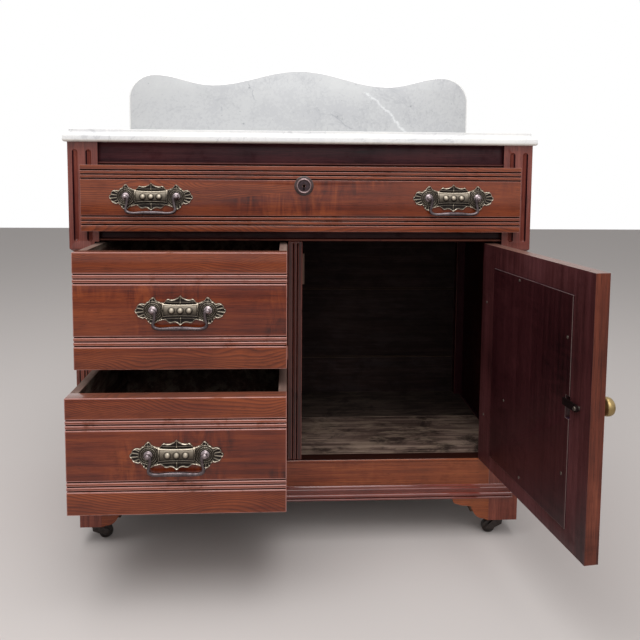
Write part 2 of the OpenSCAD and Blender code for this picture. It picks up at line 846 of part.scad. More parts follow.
module top_drawer_front() {
  color("brown") stand() difference() {
    translate([0, top_back_y - top_front_t, 0])
      front(-top_front_x, top_front_x, top_front_z0, top_front_h, top_front_t, top_band);
    key_hole(top_back_y - top_front_t - cut, top_back_y + cut);
  }
}

module top_drawer_box() {
  color("rosybrown") stand()
    box(-top_box_x, top_box_x, top_back_y, side_l, top_box_z0, top_box_z1);
}

module top_drawer_bottom() {
  color("rosybrown") stand() tray(-top_box_x, top_box_x, top_back_y, side_l, top_box_z0);
}

module low_front(z0, h, out) {
  color("brown") stand() translate([0, stile_y0 - out, 0])
    front(low_x0, low_x1, z0 + front_gap, h, low_front_t, low_band);
}

module low_box(z0, h, out) {
  color("rosybrown") stand()
    box(
      low_x0, low_x1, stile_y0 - out + low_front_t, side_l,
      z0 + run_gap, z0 + front_gap + h - low_side_gap
    );
}

module low_bottom(z0, out) {
  color("rosybrown") stand() tray(low_x0, low_x1, stile_y0 - out + low_front_t, side_l, z0 + run_gap);
}

module middle_drawer_front() {
  low_front(middle_z0, middle_front_h, middle_out);
}

module middle_drawer_box() {
  low_box(middle_z0, middle_front_h, middle_out);
}

module middle_drawer_bottom() {
  low_bottom(middle_z0, middle_out);
}

module lower_drawer_front() {
  low_front(low_z0, low_front_h, lower_out);
}

module lower_drawer_box() {
  low_box(low_z0, low_front_h, lower_out);
}

module lower_drawer_bottom() {
  low_bottom(low_z0, lower_out);
}

// Turned wooden ring round the keyhole
module keyhole_ring() {
  middle = (ring_r + ring_hole_r) / 2;
  color("sienna") stand() translate([0, top_back_y - top_front_t, top_front_z0 + ring_z]) rotate([90, 0, 0])
    rotate_extrude() polygon([
      [ring_hole_r, 0], [ring_r, 0], [ring_r, ring_t * 0.3], [middle + turned_edge, ring_t * 0.9],
      [middle, ring_t], [middle - turned_edge, ring_t * 0.9], [ring_hole_r, ring_t * 0.4]
    ]);
}

// Lock behind the top drawer's front, with a slot for its bolt
module lock_case() {
  color("goldenrod") stand() difference() {
    block([-lock_w / 2, lock_w / 2], [top_back_y, top_back_y + lock_t], [lock_z1 - lock_h, lock_z1]);
    block(
      [-bolt_w / 2 - bolt_clear, bolt_w / 2 + bolt_clear],
      [bolt_y0 - bolt_clear, bolt_y0 + bolt_t + bolt_clear],
      [lock_z1 - bolt_h - bolt_clear, lock_z1 + cut]
    );
    key_hole(top_back_y - cut, bolt_y0 - key_end_gap);
  }
}

module lock_bolt() {
  color("goldenrod") stand()
    block([-bolt_w / 2, bolt_w / 2], [bolt_y0, bolt_y0 + bolt_t], [lock_z1 - bolt_h, lock_z1]);
}

// ---- Pulls: drawn on a face at y = 0, standing out towards -y ----

// Half of the plate's outline, as shares of its half width and half height: crest, rosette, fan, then below
plate_half = [
  [0, 1], [0.12, 0.8], [0.28, 0.76], [0.33, 0.6], [0.42, 0.54], [0.53, 0.6], [0.57, 0.78], [0.63, 0.84],
  [0.7, 0.72], [0.76, 0.58], [0.85, 0.52], [0.9, 0.38], [0.97, 0.26], [1, 0], [0.97, -0.22], [0.92, -0.44],
  [0.86, -0.62], [0.74, -0.7], [0.64, -0.74], [0.54, -0.72], [0.42, -0.68], [0.33, -0.66], [0.28, -0.8],
  [0.12, -0.84], [0, -1]
];

module plate() {
  sx = pull_w / 2;
  sz = pull_h / 2;
  right = [for (p = plate_half) [p[0] * sx, p[1] * sz]];
  left = [for (i = [len(plate_half) - 2:-1:1]) [-plate_half[i][0] * sx, plate_half[i][1] * sz]];
  y = -pull_t;
  run_y(y, 0) polygon(concat(right, left));
  run_y(y - relief_t, y) polygon([
    [-0.34 * sx, -0.5 * sz], [0.34 * sx, -0.5 * sz], [0.38 * sx, 0], [0.34 * sx, 0.5 * sz],
    [-0.34 * sx, 0.5 * sz], [-0.38 * sx, 0]
  ]);
  for (x = [-1, 0, 1]) translate([x * 0.19 * sx, y - relief_t, 0]) rotate([90, 0, 0])
    cylinder(h = boss_t, r1 = boss_r, r2 = 0.6 * boss_r);
  for (x = [-1, 1]) translate([x * post_pitch / 2, 0, 0]) difference() {
    rotate([90, 0, 0]) rotate_extrude() polygon([
      [0, 0], [rosette_r, 0], [rosette_r, pull_t + 0.4 * relief_t],
      [rosette_r - turned_edge, pull_t + relief_t], [bail_post_r, pull_t + relief_t],
      [bail_post_r, bail_axis + turned_edge],
      [bail_post_r - turned_edge, bail_axis + bail_post_r], [0, bail_axis + bail_post_r]
    ]);
    translate([0, -bail_axis, 0]) rotate([0, 90, 0])
      cylinder(h = 2 * rosette_r, r = bail_pin_r + bail_clear, center = true);
  }
}

module bail() {
  px = post_pitch / 2;
  inner = px - bail_post_r - arm_r - bail_arm_gap;
  shoulder = [inner + bail_arm_gap, 0, -bail_shoulder];
  knee = [px - turned_edge, 0, -bail_drop + bail_knee];
  foot = [px - bail_foot, 0, -bail_drop];
  translate([0, -bail_axis, 0]) for (side = [0, 1]) mirror([side, 0, 0]) {
    translate([inner, 0, 0]) rotate([0, 90, 0])
      cylinder(h = px + bail_post_r + turned_edge - inner, r = bail_pin_r);
    bar([inner, 0, 0], shoulder, arm_r, arm_r);
    bar(shoulder, knee, arm_r, arm_r);
    bar(knee, foot, arm_r, arm_r);
    bar(foot, [0, 0, -bail_drop], arm_r, bail_r);
    for (p = [[inner, 0, 0], shoulder, knee, foot]) translate(p) sphere(r = arm_r + knuckle_swell);
  }
}

// Where each pull sits: x, face y and z
pull_places = [
  [-top_pull_x, top_back_y - top_front_t, top_pull_z],
  [top_pull_x, top_back_y - top_front_t, top_pull_z],
  [low_pull_x, stile_y0 - middle_out, middle_z0 + front_gap + middle_pull_up],
  [low_pull_x, stile_y0 - lower_out, low_z0 + front_gap + low_pull_up]
];

module plate_at(i) {
  color("olive") stand() translate(pull_places[i]) plate();
}

module bail_at(i) {
  color("dimgray") stand() translate(pull_places[i]) bail();
}

module top_left_pull() {
  plate_at(0);
}

module top_right_pull() {
  plate_at(1);
}

module middle_pull() {
  plate_at(2);
}

module lower_pull() {
  plate_at(3);
}

module top_left_bail() {
  bail_at(0);
}

module top_right_bail() {
  bail_at(1);
}

module middle_bail() {
  bail_at(2);
}

module lower_bail() {
  bail_at(3);
}

// ---- Door ----

// Turns what is drawn in the door's closed place about the hinges
module opened() {
  translate([hinge_x, hinge_y, 0]) rotate([0, 0, door_open]) translate([-hinge_x, -hinge_y, 0]) children();
}

module door_frame() {
  y = [stile_y0, stile_y0 + door_t];
  color("brown") stand() opened() {
    difference() {
      block([door_x0, door_x0 + door_stile_w], y, [door_z0, door_z1]);
      translate([knob_x, stile_y0 - cut, knob_height]) rotate([-90, 0, 0])
        cylinder(h = door_t + 2 * cut, r = spindle_r + spindle_clear);
    }
    difference() {
      block([door_x1 - door_stile_w, door_x1], y, [door_z0, door_z1]);
      for (z = hinge_zs)
        block([door_x1 - leaf_t, door_x1 + cut], [stile_y0 - cut, stile_y0 + hinge_w], [z, z + hinge_h]);
    }
    block([door_x0 + door_stile_w, door_x1 - door_stile_w], y, [door_z1 - door_top_h, door_z1]);
    block([door_x0 + door_stile_w, door_x1 - door_stile_w], y, [door_z0, door_z0 + door_low_h]);
  }
}

module door_panel() {
  y1 = stile_y0 + door_t + panel_proud;
  x0 = door_x0 + door_stile_w;
  color("firebrick") stand() opened() difference() {
    block([x0, door_x1 - door_stile_w], [y1 - panel_t, y1], [door_z0 + door_low_h, door_z1 - door_top_h]);
    block(
      [x0 - cut, x0 + notch_w],
      [y1 - notch_d, y1 + cut],
      [knob_height - notch_drop - notch_h / 2, knob_height - notch_drop + notch_h / 2]
    );
  }
}

// Knob with its rose, its neck and the spindle that turns the latch arm
module door_knob() {
  back = latch_y0 + latch_t + spindle_end - stile_y0;
  color("gold") stand() opened() translate([knob_x, stile_y0, knob_height]) rotate([90, 0, 0]) {
    translate([0, 0, -back]) cylinder(h = back + rose_gap + neck_flare, r = spindle_r);
    translate([0, 0, rose_gap]) rotate_extrude() polygon(concat(
      [[0, 0], [rose_r, 0], [rose_r - rose_edge, rose_t], [neck_r + neck_flare, rose_t],
        [neck_r, rose_t + 2 * neck_flare]],
      [for (a = [-65:13:91]) [
        knob_r * cos(min(a, 90)), knob_out - rose_gap - knob_half + knob_half * sin(min(a, 90))
      ]]
    ));
  }
}

module door_latch() {
  color("gray") stand() opened() translate([knob_x, 0, knob_height]) difference() {
    union() {
      block([0, latch_reach], [latch_y0, latch_y0 + latch_t], [-latch_w / 2, latch_w / 2]);
      translate([0, latch_y0, 0]) rotate([-90, 0, 0]) cylinder(h = latch_t, r = latch_w / 2);
    }
    translate([0, latch_y0 - cut, 0]) rotate([-90, 0, 0]) cylinder(h = latch_t + 2 * cut, r = spindle_r);
  }
}

// A leaf beside the gap, joined to its knuckles, which are the named thirds of its height
module leaf(x0, x1, thirds, bore_r) {
  third = hinge_h / 3;
  difference() {
    union() {
      block([x0, x1], [stile_y0, stile_y0 + hinge_w], [0, hinge_h]);
      for (k = thirds) {
        block([x0, x1], [hinge_y, stile_y0 + cut], [k * third + leaf_gap, (k + 1) * third - leaf_gap]);
        translate([hinge_x, hinge_y, k * third + leaf_gap]) cylinder(h = third - 2 * leaf_gap, r = knuckle_r);
      }
    }
    translate([hinge_x, hinge_y, -cut]) cylinder(h = hinge_h + 2 * cut, r = bore_r);
  }
}

// The case's leaves hold the pins
module case_hinge_leaves() {
  color("dimgray") stand() for (z = hinge_zs) translate([0, 0, z]) {
    leaf(right_x, right_x + leaf_t, [0, 2], hinge_pin_r);
    translate([hinge_x, hinge_y, 0]) cylinder(h = hinge_h, r = hinge_pin_r);
  }
}

module door_hinge_leaves() {
  color("dimgray") stand() opened() for (z = hinge_zs) translate([0, 0, z])
    leaf(door_x1 - leaf_t, door_x1, [1], hinge_pin_r + hinge_clear);
}

// ---- Casters ----

module caster_sockets() {
  color("dimgray") stand() for (s = stems) translate([s[0], s[1], 0]) difference() {
    union() {
      translate([0, 0, foot_z - flange_t]) cylinder(h = flange_t, r = flange_r);
      translate([0, 0, foot_z]) cylinder(h = stem_l + cut, r = socket_r);
    }
    translate([0, 0, foot_z - flange_t - cut]) cylinder(h = stem_l + flange_t + cut, r = stem_r + stem_clear);
  }
}

// A fork with its axle, drawn with its stem on z and its wheel towards +x
module fork() {
  gap = wheel_w / 2 + cheek_gap;
  translate([0, 0, crown_z1 - cut]) cylinder(h = foot_z + stem_l - crown_z1, r = stem_r);
  translate([0, 0, crown_z1 - crown_t]) cylinder(h = crown_t, r = gap + cheek_t);
  for (side = [0, 1]) mirror([0, side, 0]) run_y(gap, gap + cheek_t) polygon([
    [-fork_half, crown_z1], [-fork_neck, wheel_r + fork_rise], [caster_trail - fork_half, wheel_r - fork_eye],
    [caster_trail, wheel_r - fork_half], [caster_trail + fork_eye, wheel_r - fork_neck],
    [caster_trail + fork_half, wheel_r + fork_half / 5], [caster_trail - fork_eye / 2, wheel_r + 2 * fork_eye],
    [fork_half, crown_z1]
  ]);
  translate([caster_trail, 0, wheel_r]) rotate([90, 0, 0])
    cylinder(h = 2 * (gap + cheek_t + axle_end), r = axle_r, center = true);
}

module wheel() {
  translate([caster_trail, 0, wheel_r]) rotate([90, 0, 0]) difference() {
    translate([0, 0, -wheel_w / 2]) rotate_extrude() polygon([
      [0, 0], [wheel_r - wheel_round, 0], [wheel_r, wheel_round], [wheel_r, wheel_w - wheel_round],
      [wheel_r - wheel_round, wheel_w], [0, wheel_w]
    ]);
    cylinder(h = wheel_w + 2 * cut, r = axle_r + axle_clear, center = true);
  }
}

module at_caster(i) {
  stand() translate([stems[i][0], stems[i][1], 0]) rotate([0, 0, caster_turn[i]]) children();
}

module front_left_fork() {
  color("dimgray") at_caster(0) fork();
}

module front_right_fork() {
  color("dimgray") at_caster(1) fork();
}

module rear_left_fork() {
  color("dimgray") at_caster(2) fork();
}

module rear_right_fork() {
  color("dimgray") at_caster(3) fork();
}

module front_left_wheel() {
  color("black") at_caster(0) wheel();
}

module front_right_wheel() {
  color("black") at_caster(1) wheel();
}

module rear_left_wheel() {
  color("black") at_caster(2) wheel();
}

module rear_right_wheel() {
  color("black") at_caster(3) wheel();
}

marble_top();
backsplash();
left_post();
right_post();
left_stile();
right_stile();
centre_stile();
frieze_rail();
mid_rail();
divider_rail();
bottom_rail();
base_moulding();
front_brackets();
left_rear_post();
right_rear_post();
side_rails();
left_side_panel();
right_side_panel();
back_boards();
partition();
floor_boards();
top_runners();
lower_runners();
foot_blocks();
caster_sockets();
door_stop();
case_hinge_leaves();
top_drawer_front();
top_drawer_box();
top_drawer_bottom();
middle_drawer_front();
middle_drawer_box();
middle_drawer_bottom();
lower_drawer_front();
lower_drawer_box();
lower_drawer_bottom();
top_left_pull();
top_right_pull();
middle_pull();
lower_pull();
top_left_bail();
top_right_bail();
middle_bail();
lower_bail();
keyhole_ring();
lock_case();
lock_bolt();
door_frame();
door_panel();
door_knob();
door_latch();
door_hinge_leaves();
front_left_fork();
front_right_fork();
rear_left_fork();
rear_right_fork();
front_left_wheel();
front_right_wheel();
rear_left_wheel();
rear_right_wheel();
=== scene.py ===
# Washstand with a marble top: looks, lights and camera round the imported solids.
import json
import math
import random
import bpy
import bmesh
from mathutils import Matrix, Vector

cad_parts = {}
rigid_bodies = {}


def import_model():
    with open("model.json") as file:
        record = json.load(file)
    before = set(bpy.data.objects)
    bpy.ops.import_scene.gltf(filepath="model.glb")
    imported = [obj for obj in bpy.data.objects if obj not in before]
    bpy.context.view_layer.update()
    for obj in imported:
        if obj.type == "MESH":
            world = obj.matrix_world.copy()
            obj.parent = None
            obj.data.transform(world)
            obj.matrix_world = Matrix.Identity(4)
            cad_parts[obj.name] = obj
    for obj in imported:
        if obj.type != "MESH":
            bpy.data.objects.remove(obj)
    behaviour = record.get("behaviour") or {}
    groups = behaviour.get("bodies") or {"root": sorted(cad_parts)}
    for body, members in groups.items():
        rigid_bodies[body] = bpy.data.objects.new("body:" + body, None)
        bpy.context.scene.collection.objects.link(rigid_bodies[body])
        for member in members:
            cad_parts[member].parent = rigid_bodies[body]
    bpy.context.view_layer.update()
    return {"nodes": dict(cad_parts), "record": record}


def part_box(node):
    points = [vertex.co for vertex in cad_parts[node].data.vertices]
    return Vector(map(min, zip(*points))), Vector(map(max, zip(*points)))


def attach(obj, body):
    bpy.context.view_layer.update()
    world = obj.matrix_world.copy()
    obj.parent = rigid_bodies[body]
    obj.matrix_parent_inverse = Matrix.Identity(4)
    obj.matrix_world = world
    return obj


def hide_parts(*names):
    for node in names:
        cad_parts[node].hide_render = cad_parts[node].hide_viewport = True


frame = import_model()
nodes = frame["nodes"]
bodyOf = {n: b for b, ns in frame["record"]["behaviour"]["bodies"].items() for n in ns}
slotOf = {s["node"]: s["material_slot"] for s in frame["record"]["subparts"]}
rad = math.radians
toRight, toLeft, toFront, toBack, upwards = (1, 0, 0), (-1, 0, 0), (0, -1, 0), (0, 1, 0), (0, 0, 1)
doorTurn = 98  # degrees that the door stands open at rest
print("frame loaded")


def linear(r, g, b):  # a screen colour, made linear for the shader
    return tuple(((c / 255 + 0.055) / 1.055) ** 2.4 if c > 10 else c / 255 / 12.92 for c in (r, g, b)) + (1.0,)


class Sock:  # a socket that can be used in expressions
    def __init__(self, tree, socket):
        self.tree, self.socket = tree, socket

    def mathOp(self, op, other, swap=False, clamp=False):
        node = self.tree.nodes.new("ShaderNodeMath")
        node.operation, node.use_clamp = op, clamp
        pair = (other, self) if swap else (self, other)
        for i, v in enumerate(pair):
            if isinstance(v, Sock):
                self.tree.links.new(v.socket, node.inputs[i])
            elif v is not None:
                node.inputs[i].default_value = v
        return Sock(self.tree, node.outputs[0])

    def __add__(self, o): return self.mathOp("ADD", o)
    def __radd__(self, o): return self.mathOp("ADD", o)
    def __sub__(self, o): return self.mathOp("SUBTRACT", o)
    def __rsub__(self, o): return self.mathOp("SUBTRACT", o, swap=True)
    def __mul__(self, o): return self.mathOp("MULTIPLY", o)
    def __rmul__(self, o): return self.mathOp("MULTIPLY", o)
    def __truediv__(self, o): return self.mathOp("DIVIDE", o)
    def __rtruediv__(self, o): return self.mathOp("DIVIDE", o, swap=True)
    def __pow__(self, o): return self.mathOp("POWER", o)
    def __rpow__(self, o): return self.mathOp("POWER", o, swap=True)
    def atLeast(self, o): return self.mathOp("MAXIMUM", o)
    def clip(self): return self.mathOp("ADD", 0.0, clamp=True)
    def size(self): return self.mathOp("ABSOLUTE", None)
    def part(self): return self.mathOp("FRACT", None)


class Nodes:  # a shader tree that nodes are added to
    def __init__(self, tree):
        self.tree = tree

    def add(self, kind, settings=None, values=None, out=0):
        node = self.tree.nodes.new("ShaderNode" + kind)
        for key, v in (settings or {}).items():
            if key == "stops":
                while len(node.color_ramp.elements) < len(v):
                    node.color_ramp.elements.new(0.5)
                for e, (at, c) in zip(node.color_ramp.elements, v):
                    e.position, e.color = at, c
            else:
                setattr(node, key, v)
        for key, v in (values or {}).items():
            if isinstance(v, Sock):
                self.tree.links.new(v.socket, node.inputs[key])
            else:
                node.inputs[key].default_value = v
        return Sock(self.tree, node.outputs[out])

    def split(self, vector):
        first = self.add("SeparateXYZ", None, {0: vector})
        return [Sock(self.tree, o) for o in first.socket.node.outputs]


class Paint(Nodes):  # one material
    def __init__(self, name):
        self.mat = bpy.data.materials.new(name)
        self.mat.use_nodes = True
        super().__init__(self.mat.node_tree)
        self.shader = self.tree.nodes["Principled BSDF"]

    def place(self, turn=(0, 0, 0), move=(0, 0, 0)):
        spot = self.add("TexCoord", out="Object")
        return self.add("Mapping", {"vector_type": "POINT"}, {"Vector": spot, "Rotation": turn, "Location": move})

    def noise(self, vector, scale, detail, rough=0.5, warp=0.0):
        return self.add("TexNoise", None, {"Vector": vector, "Scale": scale, "Detail": detail,
                                           "Roughness": rough, "Distortion": warp})

    def ramp(self, value, stops):
        return self.add("ValToRGB", {"stops": stops}, {"Fac": value})

    def fade(self, value, low, high):  # 0 at low, 1 at high
        return self.add("MapRange", {"interpolation_type": "SMOOTHSTEP"},
                        {"Value": value, "From Min": low, "From Max": high})

    def mix(self, share, a, b, how="MIX"):
        return self.add("Mix", {"data_type": "RGBA", "blend_type": how}, {"Factor": share, 6: a, 7: b}, out=2)

    def vector(self, how, a, b):
        return self.add("VectorMath", {"operation": how}, {0: a, 1: b})

    def bump(self, height, strength, distance):
        node = self.add("Bump", None, {"Height": height, "Strength": strength, "Distance": distance})
        self.tree.links.new(node.socket, self.shader.inputs["Normal"])

    def feed(self, **values):
        names = {"colour": "Base Color", "rough": "Roughness", "metal": "Metallic", "coat": "Coat Weight",
                 "coatRough": "Coat Roughness", "coatIor": "Coat IOR", "level": "Specular IOR Level"}
        for key, v in values.items():
            if isinstance(v, Sock):
                self.tree.links.new(v.socket, self.shader.inputs[names[key]])
            else:
                self.shader.inputs[names[key]].default_value = v
        return self.mat

    def mark(self, name):  # a value that the mesh carries
        return self.add("Attribute", {"attribute_name": name}, None, out="Fac")


grainOrder = {"x": (0, 2, 1), "y": (1, 2, 0), "z": (2, 0, 1)}  # the axes along and across the board
woodTone = dict(dust=linear(112, 86, 78), seam=linear(14, 9, 8), farShadeTone=linear(30, 22, 20),
                paleTop=linear(158, 130, 120))
woodLook = dict(
    bend=(2.6, 6.5, 2.0, 0.45), sway=(4.5, 16.0, 2.0, 0.5),  # noise along and across the grain, detail, roughness
    medium=(4, 130, 4.0), fine=(26, 640, 3.0, 0.6), pores=(60, 1100, 2.0, 0.5), curl=(62, 12, 3.0, 0.55, 1.1),
    poreDark=0.16, bumpDeep=0.0006, smearAlong=14, smearAcross=46, seamCore=0.0005, seamSoft=0.0012,
    floorJoint=0.178)  # where the joint of the cupboard's floor lies along y


def boardGrain(p, grain, turn, move, ring, tilt, swing):  # the parts of a wood figure, each a value over the board
    spot = p.place(turn=(0, 0, turn), move=move)
    axes = p.split(spot)
    along, u, v = (axes[i] for i in grainOrder[grain])

    def streaks(lengthwise, crosswise, detail, rough=0.55, warp=0.0):
        scale = [crosswise] * 3
        scale["xyz".index(grain)] = lengthwise
        return p.noise(p.vector("MULTIPLY", spot, tuple(scale)), 1.0, detail, rough, warp)

    bend, sway = (streaks(*woodLook[part]) for part in ("bend", "sway"))
    u = u + along * tilt + (bend - 0.5) * swing + (sway - 0.5) * swing * 0.3
    v = v + 0.07 + (sway - 0.5) * 0.02
    turnOf = ((u * u + v * v) ** 0.5 / ring).part()
    growth = p.fade(turnOf, 0.25, 0.9) * p.fade(turnOf, 1.0, 0.9)
    medium, fine, pores, curl = (streaks(*woodLook[part]) for part in ("medium", "fine", "pores", "curl"))
    return dict(spot=spot, growth=growth, medium=medium, fine=fine, pores=p.fade(pores, 0.6, 0.7), curl=curl,
                cloud=p.noise(spot, 6.0, 3.0, 0.5), grime=p.noise(spot, 32.0, 6.0, 0.68))


def varnished(name, dark, mid, light, grain, turn=0.0, move=(0, 0, 0), figure=0.15, rings=0.16, bandRings=0.5,
              rough=0.4, coat=0.75, coatRough=0.14, coatIor=1.5, level=0.1, rubAndGleam=0.45, edgeColour=(150, 92, 74),
              ring=0.003, tilt=0.03, swing=0.05, soot=0.25, grooveShade=0.94, topDust=0.4, rightLit=0.0,
              within=(1, 1, 1, 1), dullInside=0.9):
    p = Paint(name)
    g = boardGrain(p, grain, turn, move, ring, tilt, swing)
    dark, mid, light = linear(*dark), linear(*mid), linear(*light)
    deep = tuple(c * woodLook["poreDark"] for c in dark[:3]) + (1.0,)
    band, groove = p.mark("band"), p.mark("groove")
    patch = p.fade(p.noise(g["spot"], 8.0, 3.0, 0.5, 0.4), 0.45, 0.6) * (1 - band)
    tone = g["medium"] * 0.36 + g["fine"] * 0.22 + g["cloud"] * 0.42 + (g["curl"] - 0.5) * patch * figure + band * 0.08
    body = p.ramp(tone.clip(), [(0.36, dark), (0.49, mid), (0.64, light)])
    if rightLit:  # painted light: the right half is made lighter, as lit from the right
        body = p.mix(p.fade(p.split(p.place())[0], 0.0, 0.28) * rightLit, body, light)
    body = p.mix(g["growth"] * (rings + band * (bandRings - rings)), body, dark)
    body = p.mix(g["pores"] * 0.45, body, deep)
    dirt = p.fade(g["grime"], 0.5, 0.72) * soot
    body = p.mix(dirt, body, dark)
    # painted shade in the grooves, in the pore colour
    body = p.mix(groove * grooveShade, body, deep)
    body = p.mix(p.mark("topFace") * topDust, body, woodTone["dust"])
    # painted shade: faces marked as inside are multiplied by the within tint
    inShade = p.mark("inside")
    body = p.mix(inShade, body, within, "MULTIPLY")
    # bevelled edges: rubbed wear with a painted highlight in the edge colour
    rubbedAndLit = p.mark("wornEdge") * p.fade(g["grime"], 0.26, 0.5) * (1 - inShade * 0.5)
    body = p.mix(rubbedAndLit * rubAndGleam, body, linear(*edgeColour))
    scratch = p.fade(p.noise(p.vector("MULTIPLY", g["spot"], (40, 40, 9)), 8.0, 4.0, 0.8), 0.62, 0.72)
    relief = g["pores"] * -0.7 + g["fine"] * 0.35 + g["growth"] * -0.2 + scratch * 0.2
    p.bump(relief, 0.1, woodLook["bumpDeep"])
    shine = rough + g["cloud"] * 0.1 + dirt * 0.3 + scratch * 0.12 + g["pores"] * 0.15
    gloss = (coat - groove * coat - inShade * (coat * dullInside) - dirt * 0.4 - scratch * 0.2).clip()
    return p.feed(colour=body, rough=shine.clip(), coat=gloss, coatRough=coatRough, coatIor=coatIor, level=level)


def bareWood(name, dark, mid, light, grain, dust=0.3, dustColour=(150, 140, 126), stain=0.5, farShade=False,
             topPale=0.0, within=(1, 1, 1, 1), boards=None):
    p = Paint(name)
    g = boardGrain(p, grain, turn=0.0, move=(0, 0, 0), ring=0.0042, tilt=0.03, swing=0.035)
    dark, mid, light = linear(*dark), linear(*mid), linear(*light)
    tone = g["medium"] * 0.45 + g["fine"] * 0.25 + g["cloud"] * 0.3
    body = p.ramp(tone.clip(), [(0.34, dark), (0.48, mid), (0.62, light)])
    body = p.mix(g["growth"] * 0.25, body, dark)
    body = p.mix(p.fade(p.noise(g["spot"], 14.0, 7.0, 0.72, 0.6), 0.46, 0.62) * stain, body, dark)
    stretch = tuple(woodLook["smearAlong" if axis == grain else "smearAcross"] for axis in "xyz")
    smear = p.noise(p.vector("MULTIPLY", g["spot"], stretch), 1.0, 6.0, 0.7, 0.3)
    body = p.mix(p.fade(smear, 0.47, 0.62) * dust, body, linear(*dustColour))
    if farShade:  # painted shade over the board behind the joint
        joint = woodLook["floorJoint"]
        behind = p.fade(p.split(g["spot"])[1], joint - 0.003, joint + 0.001)
        body = p.mix(behind * 0.8, body, woodTone["farShadeTone"])
    if boards:  # tight joints between boards, each board of its own tone
        low, pitch = boards
        row = (p.split(g["spot"])[2] - low) / pitch
        share = row.part()
        seam = p.fade((share - 0.5).size(), 0.5 - woodLook["seamSoft"] / pitch, 0.5 - woodLook["seamCore"] / pitch)
        body = p.mix(((row - share) * 0.618 + 0.1).part() * 0.45, body, dark)
        body = p.mix(seam * 0.85, body, woodTone["seam"])
    # painted shade in the grooves, in the seam colour
    body = p.mix(p.mark("groove") * 0.85, body, woodTone["seam"])
    # painted shade: faces marked as inside are multiplied by the within tint
    body = p.mix(p.mark("inside"), body, within, "MULTIPLY")
    body = p.mix(p.mark("topFace") * topPale, body, woodTone["paleTop"])
    body = p.mix(p.mark("wornEdge") * 0.3, body, light)
    p.bump(g["fine"] * 0.5 + g["growth"] * -0.3 + g["pores"] * -0.5, 0.15, woodLook["bumpDeep"])
    return p.feed(colour=body, rough=(0.68 + g["grime"] * 0.2).clip(), level=0.15)


stoneTone = dict(vein=linear(128, 131, 138), thread=linear(150, 152, 158), speck=linear(84, 88, 96),
                 underShade=linear(206, 196, 180), edge=linear(250, 249, 246))
stoneLook = dict(cloud=9.0, grain=150.0, drift=4.2, hair=15.0, fleck=95.0, speckles=14.0,  # repeats in a metre
                 veinWide=0.014, threadWide=0.011, veinStart=0.008, underShadeHigh=0.002)


def stone(name, dark, light, veinShare, speckShare, turn, edgeGleam=0.0, underShadeBelow=0.0, veins=()):
    look = stoneLook
    p = Paint(name)
    plain = p.place()
    spot = p.place(turn=turn)
    cloud = p.noise(spot, look["cloud"], 7.0, 0.55, 0.2)
    grain = p.noise(spot, look["grain"], 5.0, 0.6)
    base = p.ramp(cloud * 0.7 + grain * 0.3, [(0.34, linear(*dark)), (0.64, linear(*light))])
    drift = p.noise(p.vector("MULTIPLY", spot, (1.0, 1.0, 1.5)), look["drift"], 6.0, 0.62, 1.3)
    vein = (1 - p.fade((drift - 0.5).size(), 0.0, look["veinWide"])) * p.fade(cloud, 0.6, 0.45)
    hair = p.noise(spot, look["hair"], 7.0, 0.68, 1.8)
    thread = (1 - p.fade((hair - 0.53).size(), 0.0, look["threadWide"])) * p.fade(grain, 0.4, 0.6)
    fleck = p.noise(p.vector("MULTIPLY", spot, (1.0, 1.0, 0.55)), look["fleck"], 3.0, 0.6, 0.6)
    speck = p.fade(fleck, 0.66, 0.74) * p.fade(p.noise(spot, look["speckles"], 2.0), 0.44, 0.6)
    body = p.mix(vein * veinShare, base, stoneTone["vein"])
    body = p.mix(thread * veinShare * 0.7, body, stoneTone["thread"])
    body = p.mix(speck * speckShare, body, stoneTone["speck"])
    x, y, z = p.split(plain)
    for (x0, z0), (x1, z1), width, tint in veins:  # single veins, drawn from one point of the face to another
        length = math.hypot(x1 - x0, z1 - z0)
        ux, uz = (x1 - x0) / length, (z1 - z0) / length
        way = (x - x0) * ux + (z - z0) * uz
        aside = (x - x0) * -uz + (z - z0) * ux + (cloud - 0.5) * 0.05 + (hair - 0.5) * 0.012
        ends = p.fade(way, 0, look["veinStart"]) * p.fade(way, length, length - look["veinStart"])
        share = (1 - p.fade(aside.size(), 0.0, width)) * ends
        body = p.mix(share * 0.75 * p.fade(grain, 0.3, 0.5), body, linear(*tint))
    # painted shade along the lower edge of the slab, in a beige tone
    if underShadeBelow:
        body = p.mix(p.fade(z, underShadeBelow, underShadeBelow - look["underShadeHigh"]) * 0.5, body, stoneTone["underShade"])
    # painted highlight: the rounded edges turn near white
    body = p.mix(p.mark("wornEdge") * edgeGleam, body, stoneTone["edge"])
    p.bump(grain, 0.03, 0.0003)
    return p.feed(colour=body, rough=(0.16 + cloud * 0.14 + grain * 0.1).clip(), coat=0.2, coatRough=0.1, level=0.5)


def castMetal(name, bright, middle, deep, rough, grainScale, tarnish, colourByGleam=False):
    p = Paint(name)
    spot = p.place()
    old = p.noise(spot, grainScale, 6.0, 0.65)
    large = p.noise(spot, 42.0, 4.0, 0.6)
    patina = p.fade(old * 0.5 + large * 0.5, 0.4, 0.62) * tarnish
    if colourByGleam:
        # the colour follows the relief mark: painted highlight and shade on the pull, with rubbed high spots
        high = p.mark("relief")
        body = p.ramp((high + (old - 0.5) * 0.3).clip(),
                      [(0.1, linear(*deep)), (0.42, linear(*middle)), (0.9, linear(*bright))])
        body = p.mix(patina * (1 - high).clip(), body, linear(*deep))
    else:
        body = p.mix(patina, linear(*bright), linear(*middle))
        body = p.mix(p.fade(old, 0.56, 0.72) * tarnish, body, linear(*deep))
    p.bump(old * 0.7 + large * 0.3, 0.22, 0.0003)
    return p.feed(colour=body, metal=0.95, rough=(rough + patina * 0.3 + (old - 0.5) * 0.2).clip())


